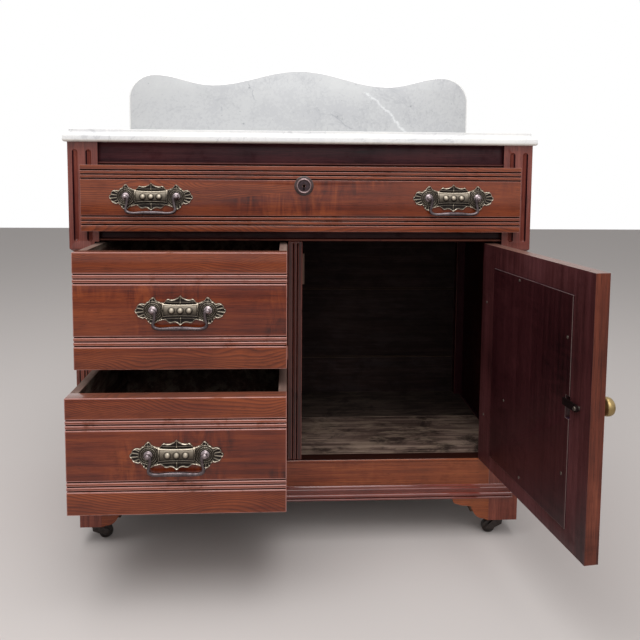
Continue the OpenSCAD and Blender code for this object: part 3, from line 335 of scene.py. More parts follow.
walnut = dict(dark=(60, 20, 10), mid=(104, 44, 24), light=(138, 68, 38))
shadeInside = (0.16, 0.14, 0.3, 1)
straight = dict(figure=0.12, tilt=0.008, swing=0.02)
doorLook = dict(grain="z", turn=rad(-doorTurn), coat=0.35, coatRough=0.3, dullInside=0.0)
backLow, backHigh = (corner.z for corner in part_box("back_boards"))
backCount = 4  # boards in the back
splashVeins = [  # from one point (x, z) to another, width, colour
    ((0.14, 0.826), (0.245, 0.729), 0.004, (232, 233, 234)), ((0.061, 0.774), (0.116, 0.737), 0.0022, (150, 152, 158)),
    ((-0.105, 0.83), (-0.1, 0.8), 0.002, (140, 142, 150)), ((-0.177, 0.79), (-0.17, 0.775), 0.0028, (150, 152, 160))]
paints = {  # name, then the darkest to the lightest tone of a wood, or the brightest to the deepest of a metal
    # painted highlight on the rounded edges of both stones, and painted shade along the slab's lower edge
    "marble": stone("marbleSlab", (221, 221, 223), (241, 240, 237), 0.25, 0.3, (0.3, 0.4, 0.0), 0.4, underShadeBelow=0.7015),
    "marbleUp": stone("marbleSplash", (185, 186, 189), (202, 203, 203), 0.2, 0.8, (1.2, 0.3, 0.8), 0.9,
                      veins=splashVeins),
    # painted shade on the bottom rail's top face, its right half painted lighter as lit from the right, and a painted
    # highlight on its rubbed edges
    "caseX": varnished("railWalnut", (72, 24, 8), (125, 55, 25), (161, 86, 44), "x", rings=0.3, rubAndGleam=0.65,
                       within=(0.12, 0.1, 0.12, 1), edgeColour=(176, 126, 116), rightLit=0.3, **straight),
    # the edge colour is a painted highlight on the beads, over the rubbed wear
    "moulding": varnished("mouldingWalnut", (66, 20, 16), (118, 48, 38), (148, 76, 62), "x", coat=1.0, coatRough=0.08,
                          coatIor=1.6, rubAndGleam=0.6, edgeColour=(196, 146, 144), **straight),
    "caseY": varnished("sideRailWalnut", grain="y", within=shadeInside, **walnut, **straight),
    # the groove share paints shade in the flutes
    "caseZ": varnished("postWalnut", (72, 28, 22), (124, 60, 50), (152, 84, 70), "z", within=shadeInside,
                       grooveShade=0.12, **straight),
    "stileZ": varnished("stileWalnut", (64, 22, 16), (116, 54, 40), (146, 76, 58), "z", within=shadeInside,
                        grooveShade=0.85, **straight),
    # frieze and middle rail: darker copies of the walnut, painted shade under the overhangs
    "frieze": varnished("friezeWalnutShaded", (25, 7, 11), (56, 20, 27), (82, 39, 42), "x", coat=0.2, coatRough=0.3,
                        level=0.04, **straight),
    "midRail": varnished("middleRailWalnutShaded", (22, 7, 9), (50, 19, 21), (72, 33, 33), "x", coat=0.15, coatRough=0.3,
                         level=0.04, **straight),
    "stileShade": varnished("centreStileWalnut", (34, 8, 4), (62, 20, 13), (94, 40, 30), "z", grooveShade=0.9,
                            edgeColour=(150, 84, 74), rubAndGleam=0.7, **straight),
    "side": varnished("sidePanelWalnut", grain="z", figure=0.4, rings=0.35, move=(0.4, 0, 0), swing=0.12,
                      within=shadeInside, **walnut),
    # painted highlight on the rubbed bead edges, painted shade in the grooves, and the right half painted lighter, as
    # lit from the right
    "drawer": varnished("drawerFrontWalnut", (56, 14, 5), (101, 36, 13), (139, 64, 27), "x", figure=0.6, tilt=0.05,
                        swing=0.16, rubAndGleam=0.75, edgeColour=(188, 134, 124), rings=0.12, bandRings=0.55, rightLit=0.4),
    # the within tints paint shade on the door's inner side and its rebates
    "doorFrame": varnished("doorFrameWalnut", (62, 24, 16), (106, 50, 34), (140, 76, 54), rubAndGleam=0.5, topDust=0.75,
                           within=(0.45, 0.54, 1.15, 1), edgeColour=(140, 96, 88), **doorLook, **straight),
    "doorPanel": varnished("doorPanelWalnut", figure=0.35, within=(0.19, 0.2, 0.7, 1), rubAndGleam=1.0,
                           edgeColour=(134, 116, 112), swing=0.12, **doorLook, **walnut),
    "softX": bareWood("boxWoodAlongX", (40, 26, 20), (72, 50, 40), (104, 80, 66), "x"),
    "softY": bareWood("boxWoodAlongY", (44, 28, 24), (74, 52, 44), (110, 86, 76), "y", topPale=0.38),
    "softZ": bareWood("stopWood", (52, 36, 30), (88, 66, 56), (126, 104, 92), "z"),
    # the within tint paints shade on the inner side of the back
    "back": bareWood("backBoardWood", (46, 30, 24), (84, 60, 47), (118, 92, 75), "x", 0.2, (146, 129, 115),
                     within=(0.21, 0.2, 0.27, 1), boards=(backLow, (backHigh - backLow) / backCount)),
    # a dark copy of the box wood: painted shade inside the cupboard
    "innerZ": bareWood("partitionWoodShaded", (14, 8, 8), (26, 16, 14), (40, 26, 22), "z", 0.1, (84, 74, 66)),
    "floor": bareWood("cupboardFloorWood", (36, 26, 22), (98, 78, 70), (158, 136, 122), "x", 0.5, (162, 140, 122), 0.85,
                      farShade=True),
    "brass": castMetal("pullBrass", (206, 194, 176), (98, 90, 79), (37, 33, 32), 0.38, 420.0, 0.5, True),
    # a lighter copy of the bail metal: painted highlight on the posts
    "post": castMetal("pullPostMetalLit", (152, 139, 141), (82, 72, 75), (30, 25, 27), 0.2, 200.0, 0.5),
    "bronze": castMetal("bailBronze", (100, 90, 92), (52, 44, 47), (26, 21, 23), 0.26, 200.0, 0.6),
    # dark flange: a worn halo with painted shade round the ring
    "ringWoodHaloShade": varnished("ringWalnut", (30, 18, 18), (56, 36, 34), (86, 62, 58), "x", figure=0.1, rough=0.2, coat=0.9,
                          rubAndGleam=0.3),
    "gold": castMetal("knobBrass", (166, 143, 98), (124, 102, 66), (72, 58, 36), 0.28, 120.0, 0.45),
    "plateGrey": castMetal("keyPlateGrey", (70, 58, 61), (38, 30, 32), (18, 13, 15), 0.36, 260.0, 0.7),
    "ringMetal": castMetal("keyRingMetal", (140, 120, 120), (84, 68, 68), (40, 28, 28), 0.24, 160.0, 0.45),
    "latchIron": castMetal("latchIron", (48, 36, 36), (28, 18, 19), (14, 9, 9), 0.4, 220.0, 0.5),
    "lockIron": castMetal("lockIron", (70, 62, 54), (40, 34, 30), (20, 16, 14), 0.5, 220.0, 0.6),
    "iron": castMetal("casterIron", (74, 68, 66), (40, 35, 34), (56, 37, 26), 0.42, 180.0, 0.7),
    "hingeSteel": castMetal("hingeSteel", (120, 112, 104), (62, 54, 48), (40, 28, 22), 0.42, 220.0, 0.6),
}
print("materials made")


def finishPiece(obj, paint, body, slot, *replaced):
    obj.data.materials.clear()
    obj.data.materials.append(paints[paint])
    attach(obj, body)
    if replaced:
        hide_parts(*replaced)
    return obj


def newObject(name, data):
    obj = bpy.data.objects.new(name, data)
    bpy.context.scene.collection.objects.link(obj)
    return obj


def meshObject(name, bm, smooth=True, sharpAt=32):
    mesh = bpy.data.meshes.new(name)
    bm.to_mesh(mesh)
    bm.free()
    obj = newObject(name, mesh)
    if smooth:
        mesh.shade_smooth()
        mesh.set_sharp_from_angle(angle=rad(sharpAt))
    return obj


skinLook = dict(weld=1e-5, flatWithin=1, bevelFrom=28, sharpFrom=20,  # metres, then degrees
                square=0.97, across=0.5, grooveWide=0.006, grooveDeep=0.0006,  # what counts as a groove
                upward=0.95, forward=0.9, aslant=0.71, hollowFrom=0.02,  # which way a face looks
                steps=2, rounderSteps=4, rounder=("drawer", "marbleUp"))  # how finely the edges are rounded
marks = ("wornEdge", "groove", "band", "inside", "topFace")  # what the paints read from the faces


def inGroove(face, axis, faceY, look):  # a slanted face, or the narrow floor of a groove that runs along the axis
    if abs(face.normal[axis]) > look["across"]:
        return False
    slanted = max(abs(c) for c in face.normal) < look["square"]
    reach = [v.co[2 - axis] for v in face.verts]
    narrow = max(reach) - min(reach) < look["grooveWide"]
    deep = face.calc_center_median().y > faceY + look["grooveDeep"]
    return slanted or (face.normal.y < -look["square"] and narrow and deep)


def skin(node, paint, width, grooveAlong="", inward=None, reach=0.6, hollow=False):
    look = skinLook
    steps = look["rounderSteps"] if paint in look["rounder"] else look["steps"]
    bm = bmesh.new()
    bm.from_mesh(nodes[node].data)
    bmesh.ops.remove_doubles(bm, verts=bm.verts, dist=look["weld"])
    bmesh.ops.dissolve_limit(bm, angle_limit=rad(look["flatWithin"]), verts=bm.verts, edges=bm.edges)
    wearGleam, groove, band, inside, topFace = (bm.faces.layers.float.new(n) for n in marks)
    field = max(bm.faces, key=lambda f: f.calc_area() * (f.normal.y < -look["forward"]))
    faceY = min(v.co.y for v in bm.verts)
    heart = sum(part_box(node), Vector((0, 0, 0))) / 2
    slope = look["aslant"]
    for f in bm.faces:
        f[topFace] = float(f.normal.z > look["upward"])
        if grooveAlong:
            f[groove] = float(inGroove(f, "xyz".index(grooveAlong), faceY, look))
            f[band] = float(grooveAlong == "x" and f is not field)
        # faces turned the inward way, and with hollow those looking into the piece's middle, are marked for painted
        # shade
        if inward:
            spot = f.calc_center_median()
            way = Vector((-math.copysign(slope, spot.x), 0, slope)) if inward == "middle" else Vector(inward)
            within = hollow and f.normal.dot(heart - spot) > look["hollowFrom"]
            f[inside] = float(f.normal.dot(way) > reach or within)
    edges = [e for e in bm.edges
             if len(e.link_faces) == 2 and e.calc_face_angle(0) > rad(look["bevelFrom"]) and e.is_convex]
    made = bmesh.ops.bevel(bm, geom=edges, offset=width, segments=steps, profile=0.5, affect="EDGES",
                           clamp_overlap=True)
    # the bevelled edges carry the mark for rubbed wear with a painted highlight
    for f in made["faces"]:
        f[wearGleam], f[groove] = 1.0, 0.0
    obj = meshObject(node + "Skin", bm, sharpAt=look["sharpFrom"])
    return finishPiece(obj, paint, bodyOf[node], slotOf[node], node)


def millimetres(outline):
    return [(r / 1000, h / 1000) for r, h in outline]


def lathe(name, outline, centre, axis, count):  # an outline of radius and height, turned about the axis
    bm = bmesh.new()
    turn = Vector(upwards).rotation_difference(Vector(axis).normalized()).to_matrix()
    circle = [(math.cos(math.tau * i / count), math.sin(math.tau * i / count)) for i in range(count)]
    rings = []
    for r, h in outline:
        spots = [(r * c, r * s, h) for c, s in (circle if r else circle[:1])]
        rings.append([bm.verts.new(Vector(centre) + turn @ Vector(spot)) for spot in spots])
    for a, b in zip(rings, rings[1:]):
        for i in range(count):
            j = (i + 1) % count
            if len(a) == 1 and len(b) > 1:
                bm.faces.new((a[0], b[j], b[i]))
            elif len(b) == 1 and len(a) > 1:
                bm.faces.new((a[i], a[j], b[0]))
            elif len(a) > 1:
                bm.faces.new((a[i], a[j], b[j], b[i]))
    bmesh.ops.recalc_face_normals(bm, faces=bm.faces)
    return meshObject(name, bm)


frontRight, frontLeft = (0.71, -0.71, 0), (-0.71, -0.71, 0)
doorInner = (-math.sin(rad(doorTurn)), math.cos(rad(doorTurn)), 0)  # where the door's inner side looks
skins = {  # paint, width of the softened edges, line the grooves follow, side that faces inwards and gets painted shade, how squarely, hollow (faces looking into the piece's middle get painted shade too)
    "marble_top": ("marble", 0.0006), "backsplash": ("marbleUp", 0.0025),
    "left_post": ("caseZ", 0.0009, "z", toRight), "right_post": ("caseZ", 0.0009, "z", toLeft),
    "left_stile": ("stileZ", 0.0008, "z", toRight), "right_stile": ("stileZ", 0.0008, "z", toLeft),
    "centre_stile": ("stileShade", 0.0008, "z"),
    "frieze_rail": ("frieze", 0.0003), "mid_rail": ("midRail", 0.0006), "divider_rail": ("caseX", 0.0008),
    "bottom_rail": ("caseX", 0.0014, "", upwards), "base_moulding": ("moulding", 0.0004),
    "front_brackets": ("caseX", 0.001),
    "left_rear_post": ("caseZ", 0.001, "", frontRight), "right_rear_post": ("caseZ", 0.001, "", frontLeft),
    "side_rails": ("caseY", 0.001, "", "middle"),
    "left_side_panel": ("side", 0.0005, "", toRight), "right_side_panel": ("side", 0.0005, "", toLeft),
    "back_boards": ("back", 0.0006, "x", toFront, -0.9),
    "partition": ("innerZ", 0.0006), "floor_boards": ("floor", 0.0006),
    "top_runners": ("softY", 0.0006), "lower_runners": ("softY", 0.0006), "foot_blocks": ("softX", 0.001),
    "door_stop": ("softZ", 0.001),
    "door_frame": ("doorFrame", 0.0009, "", doorInner, 0.6, True),
    "door_panel": ("doorPanel", 0.0006, "", doorInner, -0.6),
    "door_latch": ("latchIron", 0.0003), "lock_case": ("lockIron", 0.0003), "lock_bolt": ("lockIron", 0.0002),
    "case_hinge_leaves": ("hingeSteel", 0.0002), "door_hinge_leaves": ("hingeSteel", 0.0002),
    "caster_sockets": ("iron", 0.0002),
}
for drawer in ("top", "middle", "lower"):
    skins[drawer + "_drawer_front"] = ("drawer", 0.0014, "x")
    skins[drawer + "_drawer_box"] = ("softY", 0.0008)
    skins[drawer + "_drawer_bottom"] = ("softX", 0.0005)
for corner in ("front_left", "front_right", "rear_left", "rear_right"):
    skins[corner + "_fork"] = ("iron", 0.0004)
for node, facts in skins.items():
    skin(node, *facts)
print("case, drawers and door skinned")


class Steps:  # a geometry node group that is filled step by step
    def __init__(self, name):
        self.group = bpy.data.node_groups.new(name, "GeometryNodeTree")
        self.group.interface.new_socket("Geometry", in_out="OUTPUT", socket_type="NodeSocketGeometry")
        self.group.interface.new_socket("Geometry", in_out="INPUT", socket_type="NodeSocketGeometry")
        self.start = self.group.nodes.new("NodeGroupInput")
        self.ids = {}

    def ask(self, label, kind, value):
        item = self.group.interface.new_socket(label, in_out="INPUT", socket_type="NodeSocket" + kind)
        self.ids[label] = (item.identifier, value)
        return self.start.outputs[label]

    def add(self, kind, links=None, out=0, **settings):
        node = self.group.nodes.new(kind)
        for key, v in settings.items():
            setattr(node, key, v)
        for key, v in (links or {}).items():
            if isinstance(v, bpy.types.NodeSocket):
                self.group.links.new(v, node.inputs[key])
            else:
                node.inputs[key].default_value = v
        return node.outputs[out]

    def make(self, name, bm, last, paint):
        real = self.add("GeometryNodeRealizeInstances", {0: last})
        end = self.add("GeometryNodeSetMaterial", {"Geometry": real, "Material": paints[paint]})
        self.group.links.new(end, self.group.nodes.new("NodeGroupOutput").inputs[0])
        carrier = meshObject(name + "Path", bm, smooth=False)
        mod = carrier.modifiers.new("build", "NODES")
        mod.node_group = self.group
        for identifier, value in self.ids.values():
            mod[identifier] = value
        view = bpy.context.evaluated_depsgraph_get()
        view.update()
        mesh = bpy.data.meshes.new_from_object(carrier.evaluated_get(view))
        carrier.modifiers.remove(mod)
        bpy.data.objects.remove(carrier)
        mesh.name = name
        return newObject(name, mesh)


def sweptRod(name, points, radii, paint, sides=22, samples=120):
    bm = bmesh.new()
    thick = bm.verts.layers.float.new("thick")
    verts = [bm.verts.new(q) for q in points]
    for v, r in zip(verts, radii):
        v[thick] = r
    for a, b in zip(verts, verts[1:]):
        bm.edges.new((a, b))
    g = Steps(name + "Steps")
    count = g.ask("Samples", "Int", samples)
    around = g.ask("Sides", "Int", sides)
    path = g.add("GeometryNodeMeshToCurve", {0: g.start.outputs[0]})
    soft = g.add("GeometryNodeCurveSplineType", {0: path}, spline_type="CATMULL_ROM")
    even = g.add("GeometryNodeResampleCurve", {"Curve": soft, "Count": count})
    width = g.add("GeometryNodeInputNamedAttribute", {"Name": "thick"}, data_type="FLOAT")
    ring = g.add("GeometryNodeCurvePrimitiveCircle", {"Resolution": around, "Radius": 1.0})
    skinned = g.add("GeometryNodeCurveToMesh", {"Curve": even, "Profile Curve": ring, "Scale": width,
                                                "Fill Caps": True})
    return g.make(name, bm, skinned, paint)


def domedHeads(name, spots, facing, radius, rise, paint, body, slot, segments=20, rings=10):
    bm = bmesh.new()
    for q in spots:
        bm.verts.new(q)
    g = Steps(name + "Steps")
    size = g.ask("Radius", "Float", radius)
    flat = g.ask("Rise", "Float", rise / radius)
    around = g.ask("Segments", "Int", segments)
    upTo = g.ask("Rings", "Int", rings)
    ball = g.add("GeometryNodeMeshUVSphere", {"Segments": around, "Rings": upTo, "Radius": size})
    shape = g.add("ShaderNodeCombineXYZ", {0: 1.0, 1: 1.0, 2: flat})
    squashed = g.add("GeometryNodeTransform", {"Geometry": ball, "Scale": shape})
    turn = Vector(upwards).rotation_difference(Vector(facing)).to_euler()
    turned = g.add("GeometryNodeTransform", {"Geometry": squashed, "Rotation": tuple(turn)})
    places = g.add("GeometryNodeInstanceOnPoints", {"Points": g.start.outputs[0], "Instance": turned})
    obj = g.make(name, bm, places, paint)
    obj.data.shade_smooth()
    return finishPiece(obj, paint, body, slot)


pullLook = dict(  # millimetres; the left half of the outline, above and below the middle
    top=[(-68, -0.4), (-66.8, 2.1), (-64.9, 2.9), (-64.6, 5.4), (-62.8, 8.9), (-59.3, 11), (-55.9, 11), (-52.8, 9.8),
         (-49.8, 12.8), (-46.4, 14.7), (-43.9, 18.3), (-41.6, 20), (-39.3, 20), (-37.6, 18), (-36, 15.4),
         (-33, 13.5), (-29, 12.1), (-24.8, 11.4), (-22.4, 14.3), (-19.8, 17.1), (-17.6, 17.9), (-15.4, 16.8),
         (-12, 16.6), (-8, 17.4), (-4.8, 19), (-2.9, 19.7), (-1.5, 21.5), (0, 22.75)],
    low=[(-68, -0.4), (-66.6, -3.5), (-64.7, -5.4), (-63.2, -8.9), (-60, -11.7), (-55.9, -12.6), (-52.5, -11.9),
         (-50, -13.6), (-48, -17.5), (-44.8, -20.8), (-41, -21.7), (-37.8, -20.1), (-35.6, -18.1), (-32, -16.6),
         (-27, -15.1), (-22.6, -14.6), (-20, -16.6), (-17, -19.3), (-14, -19.9), (-10, -18.6), (-6, -18.9),
         (-3.2, -20.4), (-1.5, -22.1), (0, -22.75)],
    halfWidth=68, postAt=41, panelHalf=27, panelHigh=9.2, panelSwell=1.5, studPitch=13, studR=4.8, rosetteR=15.5,
    fanFrom=14, fanPitch=16, fanLine=0.32, leafEnd=36, bailAxis=8, tip=0.2, seat=0.01,
    rosetteRings=[  # radius, half width, height, half width of the gleam, gleam
        (13.6, 1.0, 1.2, 0.9, 0.45), (10.8, 0.9, 1.1, 0.9, 0.5), (8.2, 0.8, 0.8, 0.8, 0.4)],
    high=dict(plate=1.2, rim=1.5, barrel=2.1, round=1.9, groove=0.6, bead=0.5, stud=3.3, dome=3.2, leaf=0.7, keel=1.1,
              dish=1.5, boss=1.3, neck=0.9, fan=1.0, ray=1.2, fanRim=1.1),
    gleam=dict(plate=0.14, rim=1.1, barrel=0.4, groove=0.2, bead=0.3, stud=0.18, dome=0.46, ring=0.35, leaf=0.4,
               keel=0.5, shadeBelow=0.36, shadeAbove=0.2, dish=0.19, neck=0.25, fan=0.15, ray=0.5, fanRim=0.8),
    stipple=2.6, roughCast=0.25, seed=7, columns=300, rows=84)


def along(points, x):
    for (x0, z0), (x1, z1) in zip(points, points[1:]):
        if x <= x1:
            t = (x - x0) / (x1 - x0)
            return z0 + (z1 - z0) * t
    return points[-1][1]


def hill(d, width):  # 1 at d = 0, falling to 0 at width
    t = max(0.0, 1 - abs(d) / width)
    return t * t * (3 - 2 * t)


def pullHeight(x, z, rim, dots, look):  # mm above the wood, and the painted highlight and shade of the relief
    high, gleam = look["high"], look["gleam"]
    ax, postAt, flat = abs(x), look["postAt"], look["panelHalf"]
    h = high["plate"] + high["rim"] * hill(rim - 0.9, 1.0)
    shine = gleam["plate"] + gleam["rim"] * hill(rim - 0.8, 1.3)
    half = look["panelHigh"] + look["panelSwell"] * (ax / flat) ** 3
    if ax < flat:
        edge = min(half - abs(z), flat - ax)
        if edge > 0:  # the barrel between the posts, with its three studs
            barrel = math.sqrt(max(0.0, 1 - (z / (half + 0.6)) ** 2))
            h = high["barrel"] + high["round"] * barrel * min(1, edge / 0.7) - high["groove"] * hill(edge - 2.4, 0.9)
            h += high["bead"] * hill(edge - 1.1, 0.9) + 0.12 * dots
            shine = gleam["barrel"] + 0.035 * z + gleam["bead"] * hill(edge - 1.0, 1.3)
            shine += 0.12 * dots - gleam["groove"] * hill(edge - 2.6, 1.0)
            for k in (-1, 0, 1):
                q = 1 - ((x - k * look["studPitch"]) ** 2 + (z + 0.3) ** 2) / look["studR"] ** 2
                if q > 0:
                    h = max(h, high["stud"] + high["dome"] * math.sqrt(q))
                    shine = gleam["stud"] + gleam["dome"] * q + 0.05 * z
                elif q > -0.45:  # a painted shadow ring round each stud
                    shine *= gleam["ring"]
        elif abs(z) > half:  # the leaves above and below it, with a keel in the middle
            gap = abs(z) - half
            shade = gleam["shadeBelow"] if z < 0 else gleam["shadeAbove"]
            h += high["leaf"] * hill(gap - 3.0, 0.8) - high["leaf"] * hill(gap - 0.5, 1.1)
            shine += gleam["leaf"] * hill(gap - 3.0, 0.8) - shade * hill(gap - 0.4, 1.3)
            if gap > 0.8:
                h += high["keel"] * hill(x, 1.4)
                shine += gleam["keel"] * hill(x, 1.3)
    rho = math.hypot(ax - postAt, z)
    wide = look["rosetteR"]
    if rho < wide and ax > flat - 3:  # the rosette round a post
        share = min(1, (wide - rho) / 1.2) * min(1, max(0, ax - flat + 3) / 1.5)
        dish, glow = high["dish"] + high["boss"] * hill(rho, 6.6), gleam["dish"] + 0.32 * dots
        for at, across, rise, glowAcross, bright in look["rosetteRings"]:
            dish += rise * hill(rho - at, across)
            glow += bright * hill(rho - at, glowAcross)
        h, shine = h * (1 - share) + dish * share, shine * (1 - share) + glow * share
    elif flat <= ax < look["leafEnd"]:
        h += high["neck"] * (1 - (ax - flat) / (look["leafEnd"] - flat)) + 0.55 * dots
        shine += gleam["neck"] + 0.35 * dots
    if ax > postAt and rho >= look["fanFrom"]:  # the fan towards the end
        turn = math.degrees(math.atan2(z, ax - postAt))
        line = hill((turn / look["fanPitch"]) % 1 - 0.5, look["fanLine"])
        h = high["fan"] + high["ray"] * line + high["fanRim"] * hill(rim - 1.1, 1.2)
        shine = gleam["fan"] + gleam["ray"] * line + gleam["fanRim"] * hill(rim - 1.1, 1.3)
    return max(0.5, h), max(0, min(1, shine))


def buildPull(node):
    lo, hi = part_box(node)
    cx, y0, cz = (lo.x + hi.x) / 2, hi.y, (lo.z + hi.z) / 2
    look = pullLook
    columns, rows, halfWidth, tip = look["columns"], look["rows"], look["halfWidth"], look["tip"]
    rng = random.Random(look["seed"])
    bm = bmesh.new()
    relief = bm.verts.layers.float.new("relief")
    front, back = [], []
    for i in range(columns + 1):
        x = -halfWidth + 2 * halfWidth * i / columns
        top, low = along(look["top"], -abs(x)), along(look["low"], -abs(x))
        if i in (0, columns):  # the ends are narrow, not pointed
            top, low = top + tip, low - tip
        fRow, bRow = [], []
        for j in range(rows + 1):
            z = low + (top - low) * j / rows
            rim = min(min(top - z, z - low) * 0.8, halfWidth - abs(x) + tip)  # how far in from the edge
            dots = math.sin(x * look["stipple"]) * math.sin(z * look["stipple"])
            dots += rng.uniform(-look["roughCast"], look["roughCast"])
            h, shine = pullHeight(x, z, rim, dots, look)
            h *= min(1, 0.35 + rim)
            v = bm.verts.new((cx + x / 1000, y0 - h / 1000, cz + z / 1000))
            v[relief] = max(0, min(1, shine * 0.85 + (h - 1.5) * 0.05))  # painted highlight and shade, with high spots also rubbed bright
            fRow.append(v)
            foot = (cx + x / 1000, y0 - look["seat"] / 1000, cz + z / 1000)
            bRow.append(bm.verts.new(foot) if j in (0, rows) else None)
        front.append(fRow)
        back.append(bRow)
    for i in range(columns):
        for j in range(rows):
            bm.faces.new((front[i][j], front[i + 1][j], front[i + 1][j + 1], front[i][j + 1]))
        bm.faces.new((back[i][0], back[i + 1][0], front[i + 1][0], front[i][0]))
        bm.faces.new((front[i][rows], front[i + 1][rows], back[i + 1][rows], back[i][rows]))
        bm.faces.new((back[i][rows], back[i + 1][rows], back[i + 1][0], back[i][0]))
    for i in (0, columns):
        ring = [back[i][0]] + front[i] + [back[i][rows]]
        bm.faces.new(ring if i == 0 else list(reversed(ring)))
    bmesh.ops.recalc_face_normals(bm, faces=bm.faces)
    return meshObject(node + "Plate", bm, sharpAt=60)


postLook = dict(  # millimetres of radius and height, with a ball that starts and ends at these degrees
    foot=[(0, 1), (5.8, 1), (6.4, 2.4), (5.6, 3.1), (4.2, 3.6), (3.4, 4.2), (3.1, 4.8), (3.5, 5.3)],
    ballWide=4.1, ballHigh=3.4, ballTurn=range(56, 173, 9), count=32)


def buildPost(node, side):
    lo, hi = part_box(node)
    axis, wide, high = pullLook["bailAxis"], postLook["ballWide"], postLook["ballHigh"]
    ball = [(wide * math.sin(rad(a)), axis - high * math.cos(rad(a))) for a in postLook["ballTurn"]]
    outline = postLook["foot"] + ball + [(0, axis + high)]
    spot = ((lo.x + hi.x) / 2 + side * pullLook["postAt"] / 1000, hi.y, (lo.z + hi.z) / 2)
    return lathe(node + "Post" + "LR"[side > 0], millimetres(outline), spot, toFront, postLook["count"])


bailLook = dict(half=[  # millimetres along x, up, and radius, from the left end to the middle
    (45.4, 0, 1.9), (42, 0, 2.0), (38.9, 0, 2.3), (37.4, -1.2, 2.8), (37, -4, 2.7), (37.2, -8, 2.3), (38, -13, 2.2),
    (39.1, -17.4, 2.3), (39.6, -20.4, 2.5), (38.6, -23.4, 2.7), (35.4, -25.6, 2.7), (30.5, -26.6, 2.6),
    (25, -26.8, 2.7), (19, -26.5, 2.9), (12.5, -26.2, 3.2), (6, -26.1, 3.4), (0, -26.1, 3.4)])


def buildBail(node):
    lo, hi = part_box(node.replace("bail", "pull"))
    cx, y, cz = (lo.x + hi.x) / 2, hi.y - pullLook["bailAxis"] / 1000, (lo.z + hi.z) / 2
    half = bailLook["half"]
    path = half + [(-x, z, r) for x, z, r in reversed(half[:-1])]
    points = [(cx + x / 1000, y, cz + z / 1000) for x, z, r in path]
    obj = sweptRod(node + "Rod", points, [r / 1000 for x, z, r in path], "bronze")
    obj.data.shade_smooth()
    return obj


for drawer in ("top_left", "top_right", "middle", "lower"):
    pull, bail = drawer + "_pull", drawer + "_bail"
    for side in (-1, 1):
        finishPiece(buildPost(pull, side), "post", bodyOf[pull], slotOf[pull])
    finishPiece(buildPull(pull), "brass", bodyOf[pull], slotOf[pull], pull)
    finishPiece(buildBail(bail), "bronze", bodyOf[bail], slotOf[bail], bail)
print("pulls and bails built")


def jointOf(name):
    return next(j for j in frame["record"]["behaviour"]["joints"] if j["name"] == name)


ringLook = dict(  # millimetres of radius and height
    flange=[(8.2, 0.1), (16, 0.1), (16, 0.8), (15.2, 1.4), (14.2, 1.6), (13.3, 1.6), (8.2, 1.6), (8.2, 0.1)],
    rim=[(8.9, 1.5), (13, 1.5), (13.1, 2.6), (12.8, 3.6), (12.1, 4.5), (11, 4.9), (9.9, 4.5), (9.2, 3.6), (8.9, 2.6),
         (8.9, 1.5)],
    plateR=8.9, plateOut=1.7, seat=0.05, holeR=2.9, slotDown=7.2, slotFrom=0.96, count=64)
lo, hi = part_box("keyhole_ring")
ringSpot = ((lo.x + hi.x) / 2, hi.y, (lo.z + hi.z) / 2)
ring = lathe("keyholeRingTurned", millimetres(ringLook["flange"]), ringSpot, toFront, ringLook["count"])
finishPiece(ring, "ringWoodHaloShade", bodyOf["keyhole_ring"], slotOf["keyhole_ring"], "keyhole_ring")
rim = lathe("keyholeRingRim", millimetres(ringLook["rim"]), ringSpot, toFront, ringLook["count"])
finishPiece(rim, "ringMetal", bodyOf["keyhole_ring"], slotOf["keyhole_ring"])


def keyPlate(look):
    bm = bmesh.new()
    x, y, z = ringSpot
    count = look["count"]
    hole, rim = [], []
    for i in range(count):
        a = math.tau * i / count + math.pi / 2
        c, s = math.cos(a), math.sin(a)
        r = -look["slotDown"] / s if s < -look["slotFrom"] else look["holeR"]  # a slot hangs from the round hole
        hole.append((x + r * c / 1000, z + r * s / 1000))
        rim.append((x + look["plateR"] * c / 1000, z + look["plateR"] * s / 1000))
    rear, front = y - look["seat"] / 1000, y - look["plateOut"] / 1000
    layers = [[bm.verts.new((px, py, pz)) for px, pz in shape]
              for shape, py in ((hole, rear), (hole, front), (rim, front), (rim, rear))]
    for a, b in zip(layers, layers[1:] + layers[:1]):
        for i in range(count):
            bm.faces.new((a[i], a[(i + 1) % count], b[(i + 1) % count], b[i]))
    bmesh.ops.recalc_face_normals(bm, faces=bm.faces)
    return meshObject("keyholePlate", bm)


finishPiece(keyPlate(ringLook), "plateGrey", bodyOf["keyhole_ring"], "dark_iron")

knobLook = dict(  # millimetres of radius and height above the door
    outline=[(9, 0.4), (9.3, 0.9), (8.8, 1.8), (7.4, 2.4), (5.6, 2.9), (4.8, 4.2), (4.6, 7), (4.9, 10.2), (6.2, 12.4),
             (8.6, 13.7), (11, 15), (12.5, 17.2), (12.8, 20), (12.6, 22.6), (11.6, 25.2), (9.6, 27), (6.6, 28.2),
             (3.2, 28.7), (0, 28.8)],
    foot=0.4, spindleR=2.9, tipR=2.3, tipLong=0.8, count=64, spindleCount=32)
knobJoint = jointOf("knob_turn")
knobFoot, knobWay = Vector(knobJoint["pos_m"]), Vector(knobJoint["axis"])
foot, thick, tip = knobLook["foot"], knobLook["spindleR"], knobLook["tipR"]
knob = lathe("doorKnobTurned", millimetres([(0, foot)] + knobLook["outline"]), knobFoot, knobWay, knobLook["count"])
finishPiece(knob, "gold", bodyOf["door_knob"], slotOf["door_knob"], "door_knob")
spindleBack = min((v.co - knobFoot).dot(knobWay) for v in nodes["door_knob"].data.vertices) * 1000
spindle = [(0, spindleBack), (tip, spindleBack), (thick, spindleBack + knobLook["tipLong"]), (thick, foot), (0, foot)]
spindleRod = lathe("doorKnobSpindle", millimetres(spindle), knobFoot, knobWay, knobLook["spindleCount"])
finishPiece(spindleRod, "hingeSteel", bodyOf["door_knob"], slotOf["door_knob"])

